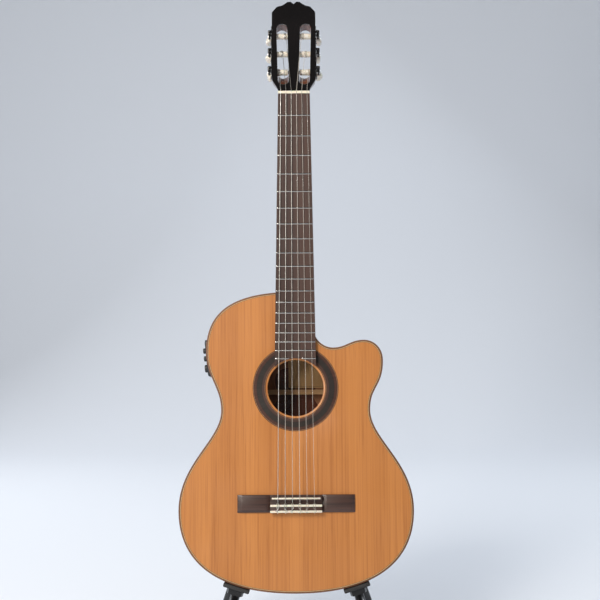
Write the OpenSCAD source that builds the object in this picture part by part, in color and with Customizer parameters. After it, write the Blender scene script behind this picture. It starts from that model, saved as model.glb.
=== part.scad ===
// Classical guitar with a cutaway and a preamp, standing on a folding A-frame stand.
// Frame: the floor is z = 0, +X is the player's treble side and -Y is the front.
// The guitar has its own leaned frame: x across, y into the body from the top plate, z up the strings.

/* [Guitar body] */
// Length of the body along the strings
body_len = 472; // [440:1:500]
// Width of the lower bout
lower_w = 368.6; // [340:0.2:390]
// Width of the waist
waist_w = 235.8; // [215:0.2:255]
// Width the upper bout would have without its cutaway
upper_w = 284.4; // [265:0.2:305]
// Height of the widest line of the lower bout
lower_z = 128; // [110:1:145]
// Height of the waist
waist_z = 283; // [262:1:300]
// Height of the widest line of the upper bout
upper_z = 378; // [360:1:395]
// Depth of the body at its lower end
lower_depth = 96; // [86:1:106]
// Depth of the body at the neck
upper_depth = 90; // [80:1:96]
// Thickness of the soundboard and of the back
plate_t = 2.8; // [2:0.1:4]
// Thickness of the bent sides, which is also the width of the binding
side_t = 2.2; // [1.6:0.1:3]
// Depth of the binding
bind_d = 5.6; // [4:0.1:8]
// Width of the lining inside the sides
lining_w = 6; // [4:0.5:8]
// Depth of the lining
lining_d = 14; // [10:1:18]

/* [Cutaway] */
// Distance from the top of the body down to the floor of the cutaway
cut_depth = 90; // [75:1:100]
// Distance of that lowest point from the centre line
cut_x = 60.2; // [54:0.2:66]
// Rise of the horn above the floor of the cutaway
horn_rise = 12.1; // [8:0.1:16]
// Distance of the horn's tip from the centre line
horn_x = 108.9; // [102:0.1:114]

/* [Soundhole] */
// Radius of the soundhole
hole_r = 44.5; // [38:0.5:48]
// Distance from the top of the body down to the centre of the hole
hole_drop = 154; // [148:1:160]
// Width of the rosette band
rosette_w = 20.5; // [14:0.5:24]
// Distance of the band from the edge of the hole
rosette_gap = 3; // [2:0.5:5]
// Depth of the inlay
inlay_t = 0.8; // [0.4:0.1:1.2]

/* [Neck and strings] */
// Vibrating length of the strings
scale_len = 650; // [630:1:665]
// Width of the fretboard at the nut
nut_w = 52; // [48:0.5:54]
// Width of the fretboard at the twelfth fret
twelfth_w = 62; // [58:0.5:64]
// Thickness of the fretboard
board_t = 7.5; // [6:0.1:9]
// Length of the fretboard
board_len = 446; // [440:1:448]
// Number of frets
fret_count = 19; // [17:1:19]
// Height of a fret's crown
fret_h = 0.9; // [0.7:0.1:1.1]
// Depth of the neck at the nut, below the fretboard
neck_d = 16; // [14:0.5:18]
// Width of the heel where it meets the body
heel_w = 59; // [56:0.5:60]
// Thickness of the nut along the strings
nut_t = 4.5; // [3.5:0.1:6]
// Spread of the outer strings at the nut
nut_spread = 43; // [40:0.5:44]
// Spread of the outer strings at the saddle
saddle_spread = 57; // [54:0.5:60]
// Height of the saddle above the soundboard
saddle_h = 10.6; // [9.6:0.1:12]

/* [Bridge] */
// Length of the bridge across the soundboard
bridge_w = 184; // [160:1:200]
// Width of the bridge along the strings
bridge_d = 27.3; // [26:0.1:32]
// Width of the tie block
tie_w = 81; // [76:1:86]
// Height of the tie block
tie_h = 9; // [8:0.1:9.4]

/* [Headstock] */
// Backward pitch of the headstock
pitch = 14; // [8:0.5:17]
// Length of the headstock up to its side corners
head_len = 156; // [150:1:170]
// Rise of the scalloped crest above those corners
crest_h = 21.4; // [14:0.2:26]
// Width of the headstock
head_w = 73.6; // [72:0.2:78]
// Thickness of the headstock's wood
head_t = 17; // [16:0.5:20]
// Thickness of the head veneer
veneer_t = 2; // [1:0.1:3]
// Width of the bar between the two slots
bar_w = 18.8; // [17:0.1:22]
// Width of each slot
slot_w = 18.4; // [17:0.1:19]

/* [Tuning machines] */
// Height of the first roller above the nut
roller_z = 43; // [40:1:48]
// Distance from roller to roller
roller_pitch = 35.3; // [34:0.1:36]
// Radius of a roller
roller_r = 5; // [4.5:0.1:5.4]
// Teeth on each gear
gear_teeth = 14; // [12:1:16]
// Distance from thread to thread on a worm
worm_pitch = 2; // [1.8:0.05:2.2]
// Turned fit between a shaft and its bore, on the radius
fit = 0.05; // [0.02:0.01:0.08]

/* [Preamp and jack] */
// Height of the middle of the preamp on the side of the body
preamp_z = 368; // [362:1:374]
// Length of the preamp's panel
preamp_len = 59; // [54:1:62]
// Width of the preamp's panel
preamp_w = 46; // [40:1:50]
// How far the panel stands proud of the side
preamp_proud = 2.5; // [1.5:0.1:4]
// Radius of the jack's socket
jack_r = 3.25; // [3.2:0.01:3.4]

/* [Stand] */
// Backward lean of the guitar
lean = 10; // [6:0.5:14]
// Height of the guitar's lower end above the floor
rest_h = 130; // [115:1:170]
// Sideways splay of each leg from upright
splay = 17; // [15:0.5:21]
// Radius of the leg tubes
leg_r = 8; // [6:0.5:9]
// Reach of the front feet ahead of the soundboard's lower edge
front_reach = 72; // [60:1:110]
// Reach of the rear feet behind that edge
rear_reach = 212; // [190:1:240]
// Width of an arm's rubber pad
pad_w = 42; // [34:1:48]
// Thickness of an arm's rubber pad
pad_t = 6; // [4:0.5:8]
// Gap between the guitar and the rubber that carries it
rest_gap = 0.4; // [0.3:0.1:1]

/* [Hidden] */
$fn = 48;

eps = 0.01;
far = 400;
body_half = lower_w / 2;
taper = atan((lower_depth - upper_depth) / body_len);
hole_z = body_len - hole_drop;
nut_z = body_len + scale_len / 2 + 0.5;
saddle_back = 1.5;
saddle_t = 2.8;
saddle_z = nut_z - scale_len - saddle_back;
board_cut_r = hole_r + 2.5;
head_side = head_w / 2;
shoulder_z = 28;

// The strings from the bass side: radius of each one
string_r = [0.55, 0.44, 0.38, 0.51, 0.41, 0.36];
string_nut_y = -(board_t + 1.6);
string_hole_y = -5;
string_n = 10;
groove_gap = 0.03;
tie_gap = 0.3;

// ---- outline of the body, as points [x, z] with x to the treble side ----
curve_n = 14;
function blend(a, ha, hb, b, t) =
  pow(1 - t, 3) * a + 3 * t * pow(1 - t, 2) * (a + ha) + 3 * t * t * (1 - t) * (b + hb) + t * t * t * b;
function curve(a, ha, hb, b, n = curve_n) = [for (i = [0:n - 1]) blend(a, ha, hb, b, i / n)];
function flip(points) = [for (i = [len(points) - 1:-1:0]) [-points[i].x, points[i].y]];

lower_pt = [body_half, lower_z];
waist_pt = [waist_w / 2, waist_z];
upper_pt = [upper_w / 2, upper_z];
horn_side_pt = [upper_w / 2 - 2.9, upper_z - 16];
horn_tip_pt = [horn_x, body_len - cut_depth + horn_rise];
cut_pt = [cut_x, body_len - cut_depth];
neck_side_pt = [heel_w / 2, body_len - cut_depth + 32];
low_span = waist_z - lower_z;
up_span = upper_z - waist_z;
tip_w = horn_side_pt.x - horn_x;
dip_w = horn_x - cut_x;

function lower_half() = concat(
  curve([0, 0], [0.696 * body_half, 0], [0, -0.595 * lower_z], lower_pt),
  curve(lower_pt, [0, 0.476 * low_span], [0, -0.298 * low_span], waist_pt));
function treble_side() = concat(
  curve(waist_pt, [0, 0.39 * up_span], [0, -0.45 * up_span], horn_side_pt, 8),
  curve(horn_side_pt, [0, 0.5 * (horn_tip_pt.y - horn_side_pt.y)], [0.65 * tip_w, 0], horn_tip_pt, 8),
  curve(horn_tip_pt, [-0.44 * dip_w, 0], [0.42 * dip_w, 0], cut_pt, 8),
  curve(cut_pt, [-0.42 * (cut_x - neck_side_pt.x), 0], [0, -21.7], neck_side_pt, 8),
  [neck_side_pt, [heel_w / 2, body_len]]);
function bass_side() = flip(concat(
  curve(waist_pt, [0, 0.39 * up_span], [0, -0.45 * up_span], upper_pt, 8),
  curve(upper_pt, [0, 0.7 * (body_len - upper_z)], [0.68 * upper_pt.x, 0], [0, body_len])));
outline = concat(lower_half(), treble_side(), [[0, body_len]], bass_side(), flip(lower_half()));

function unit(v) = v / norm(v);
function tidy(p) = [for (i = [0:len(p) - 1]) if (norm(p[i] - p[(i + 1) % len(p)]) > eps) p[i]];
rim = tidy(outline);
// Moves every point inward along the mitre of its two edges
function inset(p, d) = let (n = len(p)) [for (i = [0:n - 1]) let (
  a = unit(p[i] - p[(i + n - 1) % n]), b = unit(p[(i + 1) % n] - p[i]))
  p[i] + d * [-a.y - b.y, a.x + b.x] / (1 + a * b)];
inner_rim = inset(rim, side_t);
lining_rim = inset(rim, side_t + lining_w);
// The point of the rim that lies furthest along a direction
function reach(p, d) = max([for (q = p) q * d]);
function touch(p, d) = [for (q = p) if (q * d > reach(p, d) - eps) q][0];

function board_half(s) = (nut_w + (twelfth_w - nut_w) * s / (scale_len / 2)) / 2;
function fret_s(n) = scale_len * (1 - pow(2, -n / 12));

// ---- where the stand meets the guitar ----
down = [sin(splay), -cos(splay)];
rim_pt = touch(rim, down);
pin_x = 14;
hub_z = rim_pt.y + (rim_pt.x - pin_x) / tan(splay);
pad_u = (rim_pt - [pin_x, hub_z]) * down + rest_gap;
plate_gap = 2 * leg_r + 1.4;
hub_plate = 5;
hub_y = lower_depth + 8;
leg_y = hub_y + hub_plate + plate_gap / 2;
rear_plate_y = leg_y + plate_gap / 2;
lug_t = plate_gap - 0.6;
lug_r = 11;
pin_r = 4;
arm_t = 8;
arm_w = 26;
collar_r = leg_r + 5;
collar_h = 26;
collar_u = pad_u - 4;
ring_t = 3;
bend_u = collar_u + collar_h + ring_t + leg_r + 4;
foot_r = leg_r + 4;
foot_h = 20;
foot_pad = leg_r + 2;
foot_x = pin_x + (hub_z + rest_h) * tan(splay);

// The leaned frame's origin in y, which centres the whole object on the floor
crest_y = ((head_len + crest_h) * sin(pitch) + head_t * cos(pitch)) * cos(lean)
  + (nut_z + nut_t + (head_len + crest_h) * cos(pitch)) * sin(lean);
place_y = (front_reach + foot_r - max(rear_reach + foot_r, crest_y)) / 2;
function placed(p) = [p.x, place_y + p.y * cos(lean) + p.z * sin(lean),
  rest_h - p.y * sin(lean) + p.z * cos(lean)];
function leg_at(side, u) = placed([side * (pin_x + u * sin(splay)), leg_y, hub_z - u * cos(splay)]);

module guitar_frame() translate([0, place_y, rest_h]) rotate([-lean, 0, 0]) children();
module head_frame() guitar_frame() translate([0, 0, nut_z + nut_t]) rotate([-pitch, 0, 0]) children();

// A flat outline [x, z] made solid between two depths
module slab(y0, y1) translate([0, y1, 0]) rotate([90, 0, 0]) linear_extrude(y1 - y0) children();
module solid_rim(p, y0, y1) slab(y0, y1) polygon(p);
module ring_rim(outer, inner, y0, y1) slab(y0, y1) difference() { polygon(outer); polygon(inner); }
// Everything between two distances from the tapered back, which count inward as negative
module from_back(a, b) translate([0, lower_depth, 0]) rotate([taper, 0, 0])
  translate([-far, a, -far]) cube([2 * far, b - a, 4 * far]);
module rod(p, q, r, n = $fn) {
  v = q - p;
  translate(p) rotate([0, acos(v.z / norm(v)), atan2(v.y, v.x)]) cylinder(h = norm(v), r = r, $fn = n);
}
function oval(w, h, n = 32) = [for (i = [0:n - 1]) [w / 2 * cos(360 * i / n), h / 2 * sin(360 * i / n)]];
function soft_box(w, h, r) = [for (c = [0:3]) for (a = [0:30:90])
  [(c == 0 || c == 3 ? 1 : -1) * (w / 2 - r), (c < 2 ? 1 : -1) * (h / 2 - r)]
  + r * [cos(90 * c + a), sin(90 * c + a)]];

// ---- body ----
module top_plate() color("peru") guitar_frame() difference() {
  solid_rim(inner_rim, 0, plate_t);
  translate([0, -eps, hole_z]) rotate([-90, 0, 0]) cylinder(h = plate_t + 1, r = hole_r);
  translate([0, -1, hole_z]) rotate([-90, 0, 0]) rosette_ring(inlay_t + 1);
}
module rosette_ring(h) difference() {
  cylinder(h = h, r = hole_r + rosette_gap + rosette_w);
  translate([0, 0, -1]) cylinder(h = h + 2, r = hole_r + rosette_gap);
}
module rosette() color("saddlebrown") guitar_frame()
  translate([0, 0, hole_z]) rotate([-90, 0, 0]) rosette_ring(inlay_t);
module back_plate() color("sienna") guitar_frame() intersection() {
  solid_rim(inner_rim, 0, far);
  from_back(-plate_t, 0);
}
module bindings() color("saddlebrown") guitar_frame() {
  ring_rim(rim, inner_rim, 0, bind_d);
  intersection() {
    ring_rim(rim, inner_rim, bind_d, far);
    from_back(-bind_d, 0);
  }
}
module sides() color("sienna") difference() {
  guitar_frame() difference() {
    ring_rim(rim, inner_rim, bind_d, far);
    from_back(-bind_d, far);
  }
  preamp_frame() preamp_core(0.3);
  jack_frame() jack_barrel(0.1);
}
module block_zone(x0, x1, z0, z1) translate([x0, 0, z0]) cube([x1 - x0, far, z1 - z0]);
module neck_zone() block_zone(-42, far / 2, body_len - 50, far * 2);
module tail_zone() block_zone(-52, 52, -1, 24);
module lining_ring() difference() {
  children();
  neck_zone();
  tail_zone();
}
module linings() color("burlywood") guitar_frame() {
  lining_ring() ring_rim(inner_rim, lining_rim, plate_t, plate_t + lining_d);
  lining_ring() intersection() {
    ring_rim(inner_rim, lining_rim, plate_t + lining_d, far);
    from_back(-plate_t - lining_d, -plate_t);
  }
}
module block() intersection() {
  difference() {
    solid_rim(inner_rim, plate_t, far);
    from_back(-plate_t, far);
  }
  children();
}
module neck_block() color("tan") guitar_frame() block() neck_zone();
module tail_block() color("tan") difference() {
  guitar_frame() block() tail_zone();
  jack_frame() jack_barrel(0.1);
}
bar_t = 8;
upper_bar_z = hole_z + hole_r + 2;
lower_bar_z = hole_z - hole_r - 4 - bar_t;
back_bars = [lower_z - bar_t, waist_z - 65, hole_z - bar_t, upper_z + 12];
module bar(z, y0, y1) translate([-far, y0, z]) cube([2 * far, y1 - y0, bar_t]);
module braces() color("burlywood") guitar_frame() {
  intersection() {
    solid_rim(lining_rim, plate_t, far);
    union() {
      bar(upper_bar_z, plate_t, plate_t + 16);
      bar(lower_bar_z, plate_t, plate_t + 16);
      for (i = [-2:2]) translate([i * 24, plate_t, lower_bar_z - 2]) rotate([0, -i * 7, 0])
        translate([-3, 0, -160]) cube([6, 5, 160]);
    }
  }
  intersection() {
    solid_rim(lining_rim, 0, far);
    from_back(-plate_t - 14, -plate_t);
    for (z = back_bars) bar(z, 0, far);
  }
}

// ---- neck and fretboard ----
function d_shape(w, d) = [for (a = [0:12:180])
  [w / 2 * sign(cos(a)) * pow(abs(cos(a)), 0.8), d * pow(sin(a), 0.8)]];
module neck_slice(s, d) translate([0, 0, nut_z - s])
  linear_extrude(0.05) polygon(d_shape(2 * board_half(s), d));
heel_len = 36;
heel_tip = upper_depth - 3;
module heel() intersection() {
  rotate([90, 0, 90]) linear_extrude(heel_w, center = true) polygon(concat(
    [[0, body_len - 5], [0, body_len + heel_len + 20]],
    curve([neck_d, body_len + heel_len + 20], [0, -heel_len], [-40, 4], [heel_tip, body_len + 14], 10),
    [[heel_tip, body_len + 14], [heel_tip, body_len - 5]]));
  linear_extrude(2 * far) polygon(concat([[heel_w / 2, 0]],
    curve([heel_w / 2, neck_d], [0, 20], [6, -20], [12, heel_tip], 8), [[12, heel_tip]],
    [[-12, heel_tip]], flip(curve([heel_w / 2, neck_d], [0, 20], [6, -20], [12, heel_tip], 8)),
    [[-heel_w / 2, 0]]));
}
module neck() color("saddlebrown") difference() {
  guitar_frame() {
    hull() {
      neck_slice(-nut_t - 3, neck_d);
      neck_slice(scale_len / 2 - 10, neck_d + 2);
    }
    heel();
  }
  guitar_frame() solid_rim(rim, -1, far);
  head_frame() translate([-far, -far, 0]) cube(2 * far);
}
module fretboard() color("saddlebrown") guitar_frame() difference() {
  slab(-board_t, 0) polygon([[-board_half(0), nut_z], [board_half(0), nut_z],
    [board_half(board_len), nut_z - board_len], [-board_half(board_len), nut_z - board_len]]);
  translate([0, -board_t - 1, hole_z]) rotate([-90, 0, 0]) cylinder(h = board_t + 2, r = board_cut_r);
}
module frets() color("silver") guitar_frame() difference() {
  for (n = [1:fret_count]) let (w = 2 * board_half(fret_s(n)) - 0.8)
    translate([-w / 2, -board_t + 0.25, nut_z - fret_s(n)]) rotate([0, 90, 0])
      cylinder(h = w, r = fret_h + 0.25, $fn = 24);
  translate([-far, -board_t, 0]) cube([2 * far, 10, 4 * far]);
  translate([0, -board_t - 2, hole_z]) rotate([-90, 0, 0]) cylinder(h = board_t + 2, r = board_cut_r + 0.5);
}

// ---- strings, nut and bridge ----
function nut_x(i) = nut_spread * (i / 5 - 0.5);
function saddle_x(i) = saddle_spread * (i / 5 - 0.5);
tie_front = saddle_z - saddle_t / 2 - 8;
bridge_top = saddle_z + saddle_t / 2 + 4;
bridge_low = bridge_top - bridge_d;
function saddle_pt(i) = [saddle_x(i), -(saddle_h + string_r[i]), saddle_z];
function nut_pt(i) = [nut_x(i), string_nut_y, nut_z];
function nut_back(i) = nut_pt(i) + (nut_pt(i) - saddle_pt(i)) * (nut_t / (scale_len + saddle_back));
function tie_pt(i) = [saddle_x(i), string_hole_y, tie_front];

// Each string's roller: the outer ones of each side go to the nearest roller
roller_row = [0, 1, 2, 2, 1, 0];
roller_side = [-1, -1, -1, 1, 1, 1];
wind_x = [23.6, 18.4, 13.2];
roller_y = 8;
function row_z(i) = roller_z + roller_pitch * roller_row[i];
// The head frame's [y, z] seen from the leaned frame
function head_pt(p) = [p.x, p.y * cos(pitch) + p.z * sin(pitch),
  nut_z + nut_t - p.y * sin(pitch) + p.z * cos(pitch)];
function wind_pt(i) = head_pt([roller_side[i] * wind_x[roller_row[i]],
  roller_y - roller_r - string_r[i] - 0.15, row_z(i)]);

function tie_end(i) = [tie_pt(i).x, tie_pt(i).y, bridge_low];
module string_run(i) {
  rod(nut_back(i), wind_pt(i), string_r[i], string_n);
  rod(saddle_pt(i), nut_back(i), string_r[i], string_n);
  rod(tie_pt(i), saddle_pt(i), string_r[i], string_n);
  rod(tie_end(i), tie_pt(i), string_r[i], string_n);
}
module bass_strings() color("silver") guitar_frame() for (i = [0:2]) string_run(i);
module treble_strings() color("whitesmoke") guitar_frame() for (i = [3:5]) string_run(i);

module nut() color("ivory") guitar_frame() difference() {
  translate([-nut_w / 2, string_nut_y + 0.1, nut_z]) cube([nut_w, -string_nut_y - 0.1, nut_t]);
  for (i = [0:5]) let (over = nut_back(i) - nut_pt(i))
    rod(nut_pt(i) - over, nut_back(i) + over, string_r[i] + groove_gap, string_n);
}
block_h = 8;
module bridge_half_section() polygon([[0, bridge_low], [-3.5, bridge_low], [-4.5, bridge_low + 2],
  [-4.5, bridge_top - 2], [-3.5, bridge_top], [0, bridge_top]]);
module bridge() color("saddlebrown") guitar_frame() difference() {
  union() {
    rotate([90, 0, 90]) linear_extrude(bridge_w, center = true) bridge_half_section();
    translate([-tie_w / 2, -tie_h, bridge_low]) cube([tie_w, tie_h, tie_front - bridge_low]);
    translate([-tie_w / 2, -block_h, saddle_z - 3.5]) cube([tie_w, block_h, 7]);
  }
  translate([-far, -far, bridge_top]) cube([2 * far, 2 * far, 10]);
  saddle_shape();
  strip_shapes();
  for (i = [0:5]) rod(tie_end(i) - [0, 0, 5], tie_pt(i) + [0, 0, 1], string_r[i] + tie_gap);
}
saddle_w = 76;
saddle_base = 2;
saddle_drop = 2.4;
// Its crown falls away behind the line where the strings break over it
module saddle_shape() rotate([90, 0, 90]) linear_extrude(saddle_w, center = true) polygon([
  [-saddle_base, saddle_z - saddle_t / 2], [saddle_drop - saddle_h, saddle_z - saddle_t / 2],
  [-saddle_h, saddle_z], [-saddle_h, saddle_z + saddle_t / 2], [-saddle_base, saddle_z + saddle_t / 2]]);
module saddle() color("ivory") guitar_frame() saddle_shape();
strip_w = 3.4;
module strip_shapes() for (z = [bridge_low, tie_front - strip_w])
  translate([-tie_w / 2, -tie_h - 0.4, z]) cube([tie_w, 1.4, strip_w]);
module tie_strips() color("ivory") guitar_frame() strip_shapes();

// ---- headstock ----
slot_in = bar_w / 2;
slot_out = slot_in + slot_w;
slot_low = 13;
slot_top = roller_z + 2 * roller_pitch + 18.4;
ramp_top = roller_z - 6;
ramp_rise = (ramp_top - slot_low) / (head_t + veneer_t);
function head_half() = concat(
  curve([nut_w / 2, 0], [0, 14], [0, -14], [head_side - 1.4, shoulder_z], 8),
  [[head_side - 1.4, shoulder_z], [head_side, shoulder_z + 4], [head_side, head_len - 12]],
  curve([head_side + 0.6, head_len], [0, 0.3 * crest_h], [5, 0], [27.6, head_len + 0.55 * crest_h], 6),
  curve([27.6, head_len + 0.55 * crest_h], [-6, 0], [4, -6], [7.6, head_len + crest_h], 7),
  curve([7.6, head_len + crest_h], [-3, 0], [3, 0], [0, head_len + 0.78 * crest_h], 5));
head_outline = concat(head_half(), [[0, head_len + 0.78 * crest_h]], flip(head_half()));
head_rim = tidy(head_outline);
module head_slots() for (side = [-1, 1]) scale([side, 1]) polygon([[slot_in, ramp_top],
  [slot_out, ramp_top], [slot_out, slot_top - 3], [slot_out - 3, slot_top], [slot_in, slot_top]]);
// A slope leads the strings from the face down to the rollers
module ramps() for (side = [-1, 1]) translate([side * (slot_in + slot_w / 2), 0, 0]) rotate([90, 0, 90])
  linear_extrude(slot_w, center = true)
    polygon([[-veneer_t - 1, slot_low - ramp_rise], [-veneer_t - 1, ramp_top + 1],
      [head_t, ramp_top + 1], [head_t, ramp_top]]);
module headstock() color("sienna") head_frame() difference() {
  slab(0, head_t) difference() { polygon(head_rim); head_slots(); }
  ramps();
  head_bores();
}
module head_veneer() color("black") head_frame() difference() {
  slab(-veneer_t, 0) difference() { polygon(head_rim); head_slots(); }
  ramps();
}

// ---- tuning machines ----
plate_side_t = 1.2;
plate_w = 14;
plate_mid = head_t / 2 - 0.5;
tip_r = 2.5;
shaft_r = 2;
gear_t = 3;
gear_r = gear_teeth * worm_pitch / 360 * 180 / PI;
worm_r = 2.1;
mesh_gap = 0.12;
gear_x = head_side + plate_side_t + worm_r + 0.9;
worm_off = gear_r + worm_r + mesh_gap;
worm_len = 4 * worm_pitch;
lug_w = 1.5;
lug_gap = 0.25;
button_y = head_t + 6;
button_len = 17;
button_d = 15;
// Puts the roller's axis on z, growing towards the outside of the head
module at_roller(i) translate([0, roller_y, row_z(i)]) rotate([0, roller_side[i] * 90, 0]) children();
module head_bores() for (i = [0:5]) at_roller(i) {
  translate([0, 0, slot_out - 1]) cylinder(h = far, r = roller_r + fit);
  translate([0, 0, slot_in - 6]) cylinder(h = 7, r = tip_r + fit);
}
function gear_points() = [for (k = [0:gear_teeth - 1]) for (e = [
  [0.25 - 0.24, -0.65], [0.25 - 0.13, 0.5], [0.25 + 0.13, 0.5], [0.25 + 0.24, -0.65]])
  let (a = 360 / gear_teeth * (k + 0.25 + e[0])) (gear_r + e[1]) * [cos(a), sin(a)]];
module roller(i) color("ivory") head_frame() at_roller(i) {
  translate([0, 0, slot_in - 5.5]) cylinder(h = 6, r = tip_r);
  translate([0, 0, slot_in + 0.4]) cylinder(h = head_side - slot_in - 0.6, r = roller_r);
  translate([0, 0, head_side - 1]) cylinder(h = gear_x - head_side + gear_t / 2 + 1.6, r = shaft_r);
  translate([0, 0, gear_x - gear_t / 2]) linear_extrude(gear_t) rotate(gear_turn(i)) polygon(gear_points());
}
// A gap between two teeth faces the worm
function gear_turn(i) = roller_side[i] > 0 ? 180 : 0;
module worm(i) color("dimgray") head_frame()
  translate([roller_side[i] * gear_x, roller_y, row_z(i) + worm_off]) {
    rotate([-90, 0, 0]) translate([0, 0, -worm_len / 2 - lug_gap - lug_w - 1])
      cylinder(h = worm_len / 2 + lug_gap + lug_w + 1 + button_y - roller_y + 10, r = shaft_r - 0.5);
    worm_thread();
  }
thread_n = 14;
worm_root = worm_r - 0.5;
worm_crest = worm_r + 0.45;
// A section square to the axis; twisting it along the axis makes one thread
module worm_thread() rotate([-90, 0, 0]) translate([0, 0, -worm_len / 2]) linear_extrude(worm_len,
  twist = -360 * worm_len / worm_pitch, slices = thread_n * worm_len / worm_pitch, $fn = 8) rotate(90)
    polygon(concat([for (a = [-40, -20, 0, 20, 40]) worm_crest * [cos(a), sin(a)]],
      [for (a = [85:38:275]) worm_root * [cos(a), sin(a)]]));
module button(i) color("ivory") head_frame()
  translate([roller_side[i] * gear_x, button_y, row_z(i) + worm_off]) rotate([0, button_turn[i], 0])
    difference() {
      intersection() {
        rotate([-90, 0, 0]) rotate_extrude() polygon(concat([[0, 0]],
          [for (a = [0:15:180]) [max(0, 3 + (button_d / 2 - 3) * sin(a)), button_len / 2 * (1 - cos(a))]],
          [[0, button_len]]));
        translate([-button_d, -1, -4]) cube([2 * button_d, button_len + 2, 8]);
      }
      rotate([-90, 0, 0]) translate([0, 0, -1]) cylinder(h = 11, r = shaft_r - 0.5);
    }
button_turn = [70, 20, -35, 40, 85, -15];

module tuner_plate(side) color("dimgray") head_frame() difference() {
  union() {
    translate([side * (head_side + plate_side_t / 2), plate_mid, roller_z + roller_pitch + worm_off / 2])
      cube([plate_side_t, plate_w, 2 * roller_pitch + 34], center = true);
    for (i = [0:5]) if (roller_side[i] == side) for (end = [-1, 1])
      translate([side * (head_side + 0.5), roller_y + end * (worm_len / 2 + lug_gap + lug_w / 2),
        row_z(i) + worm_off]) rotate([0, side * 90, 0]) translate([-2.4, -lug_w / 2, 0])
          cube([4.8, lug_w, gear_x - head_side + 2]);
  }
  for (i = [0:5]) {
    at_roller(i) cylinder(h = far, r = shaft_r + fit);
    translate([roller_side[i] * gear_x, 0, row_z(i) + worm_off]) rotate([-90, 0, 0])
      translate([0, 0, -50]) cylinder(h = 100, r = shaft_r - 0.5 + fit);
  }
  screw_row() cylinder(h = 2 * far, r = 1.2, center = true);
}
module screw_row() for (side = [-1, 1]) for (k = [-1:2])
  translate([side * (head_side + plate_side_t), plate_mid,
    roller_z + roller_pitch * k + (k == -1 ? 24 : k == 2 ? 12.5 : 17.5 + worm_off / 2)])
    rotate([0, side * 90, 0]) children();
module tuner_screws() color("silver") head_frame() screw_row() {
  cylinder(h = 0.9, r = 2);
  translate([0, 0, -plate_side_t]) cylinder(h = plate_side_t + 0.1, r = 1.2);
}

// ---- preamp on the bass side and jack at the lower end ----
preamp_tilt = 6;
preamp_dir = [-cos(preamp_tilt), -sin(preamp_tilt)];
upper_rim = [for (p = rim) if (p.y > waist_z) p];
preamp_h = reach(upper_rim, preamp_dir);
preamp_s = (preamp_z + preamp_h * sin(preamp_tilt)) / cos(preamp_tilt);
preamp_pt = preamp_h * preamp_dir + preamp_s * [-sin(preamp_tilt), cos(preamp_tilt)];
preamp_y = upper_depth / 2;
// x points out of the side and z along it, towards the neck
module preamp_frame() guitar_frame() translate([preamp_pt.x, preamp_y, preamp_pt.y])
  rotate([0, -preamp_tilt, 0]) rotate([0, 0, 180]) children();
module face_x(x0, x1) translate([x0, 0, 0]) rotate([90, 0, 90]) linear_extrude(x1 - x0) children();
core_d = 34;
module preamp_core(gap) face_x(-core_d, 20)
  polygon(soft_box(preamp_w - 10 + 2 * gap, preamp_len - 12 + 2 * gap, 3));
knob_at = [[0, 13.4], [0, 0.6], [0, -15.6]];
knob_r = [4.6, 4.6, 6.4];
knob_h = 5;
button_at = [13, 6];
shaft_depth = 9;
module knob_bores() {
  for (p = knob_at) translate([-shaft_depth, p.x, p.y]) rotate([0, 90, 0])
    cylinder(h = 30, r = 3 + fit);
  translate([-shaft_depth, button_at.x, button_at.y]) rotate([0, 90, 0]) cylinder(h = 30, r = 3 + fit);
}
module preamp_panel() color("black") difference() {
  preamp_frame() difference() {
    face_x(-12, preamp_proud) polygon(soft_box(preamp_w, preamp_len, 5));
    knob_bores();
  }
  guitar_frame() solid_rim(rim, -1, far);
}
module preamp_box() color("black") intersection() {
  preamp_frame() difference() {
    preamp_core(0);
    knob_bores();
  }
  guitar_frame() solid_rim(rim, 0, far);
}
module knob(k) color("black") preamp_frame() translate([0, knob_at[k].x, knob_at[k].y]) rotate([0, 90, 0]) {
  translate([0, 0, -shaft_depth + 0.4]) cylinder(h = shaft_depth + preamp_proud, r = 3);
  translate([0, 0, preamp_proud + 0.3]) cylinder(h = knob_h - 1, r = knob_r[k]);
  translate([0, 0, preamp_proud + knob_h - 0.7]) cylinder(h = 1, r1 = knob_r[k], r2 = knob_r[k] - 0.8);
}
module phase_button() color("dimgray") preamp_frame()
  translate([0, button_at.x, button_at.y]) rotate([0, 90, 0]) translate([0, 0, -shaft_depth + 2])
    cylinder(h = shaft_depth + preamp_proud + 0.3, r = 3);

jack_tilt = 4.8;
jack_dir = [-sin(jack_tilt), -cos(jack_tilt)];
jack_pt = touch(rim, jack_dir);
jack_depth = 25;
jack_proud = 3;
module jack_frame() guitar_frame() translate([jack_pt.x, lower_depth / 2, jack_pt.y])
  rotate([0, 180 + jack_tilt, 0]) children();
module jack_barrel(gap) translate([0, 0, -jack_depth - 3])
  cylinder(h = jack_depth + 4 + 20 * gap, r = 5.6 + gap);
module jack_socket() color("black") difference() {
  union() {
    difference() {
      jack_frame() translate([0, 0, -4]) linear_extrude(4 + jack_proud) polygon(oval(36, 24));
      guitar_frame() solid_rim(rim, -1, far);
    }
    jack_frame() jack_barrel(0);
  }
  jack_frame() translate([0, 0, -jack_depth]) cylinder(h = 60, r = jack_r);
}

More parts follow.
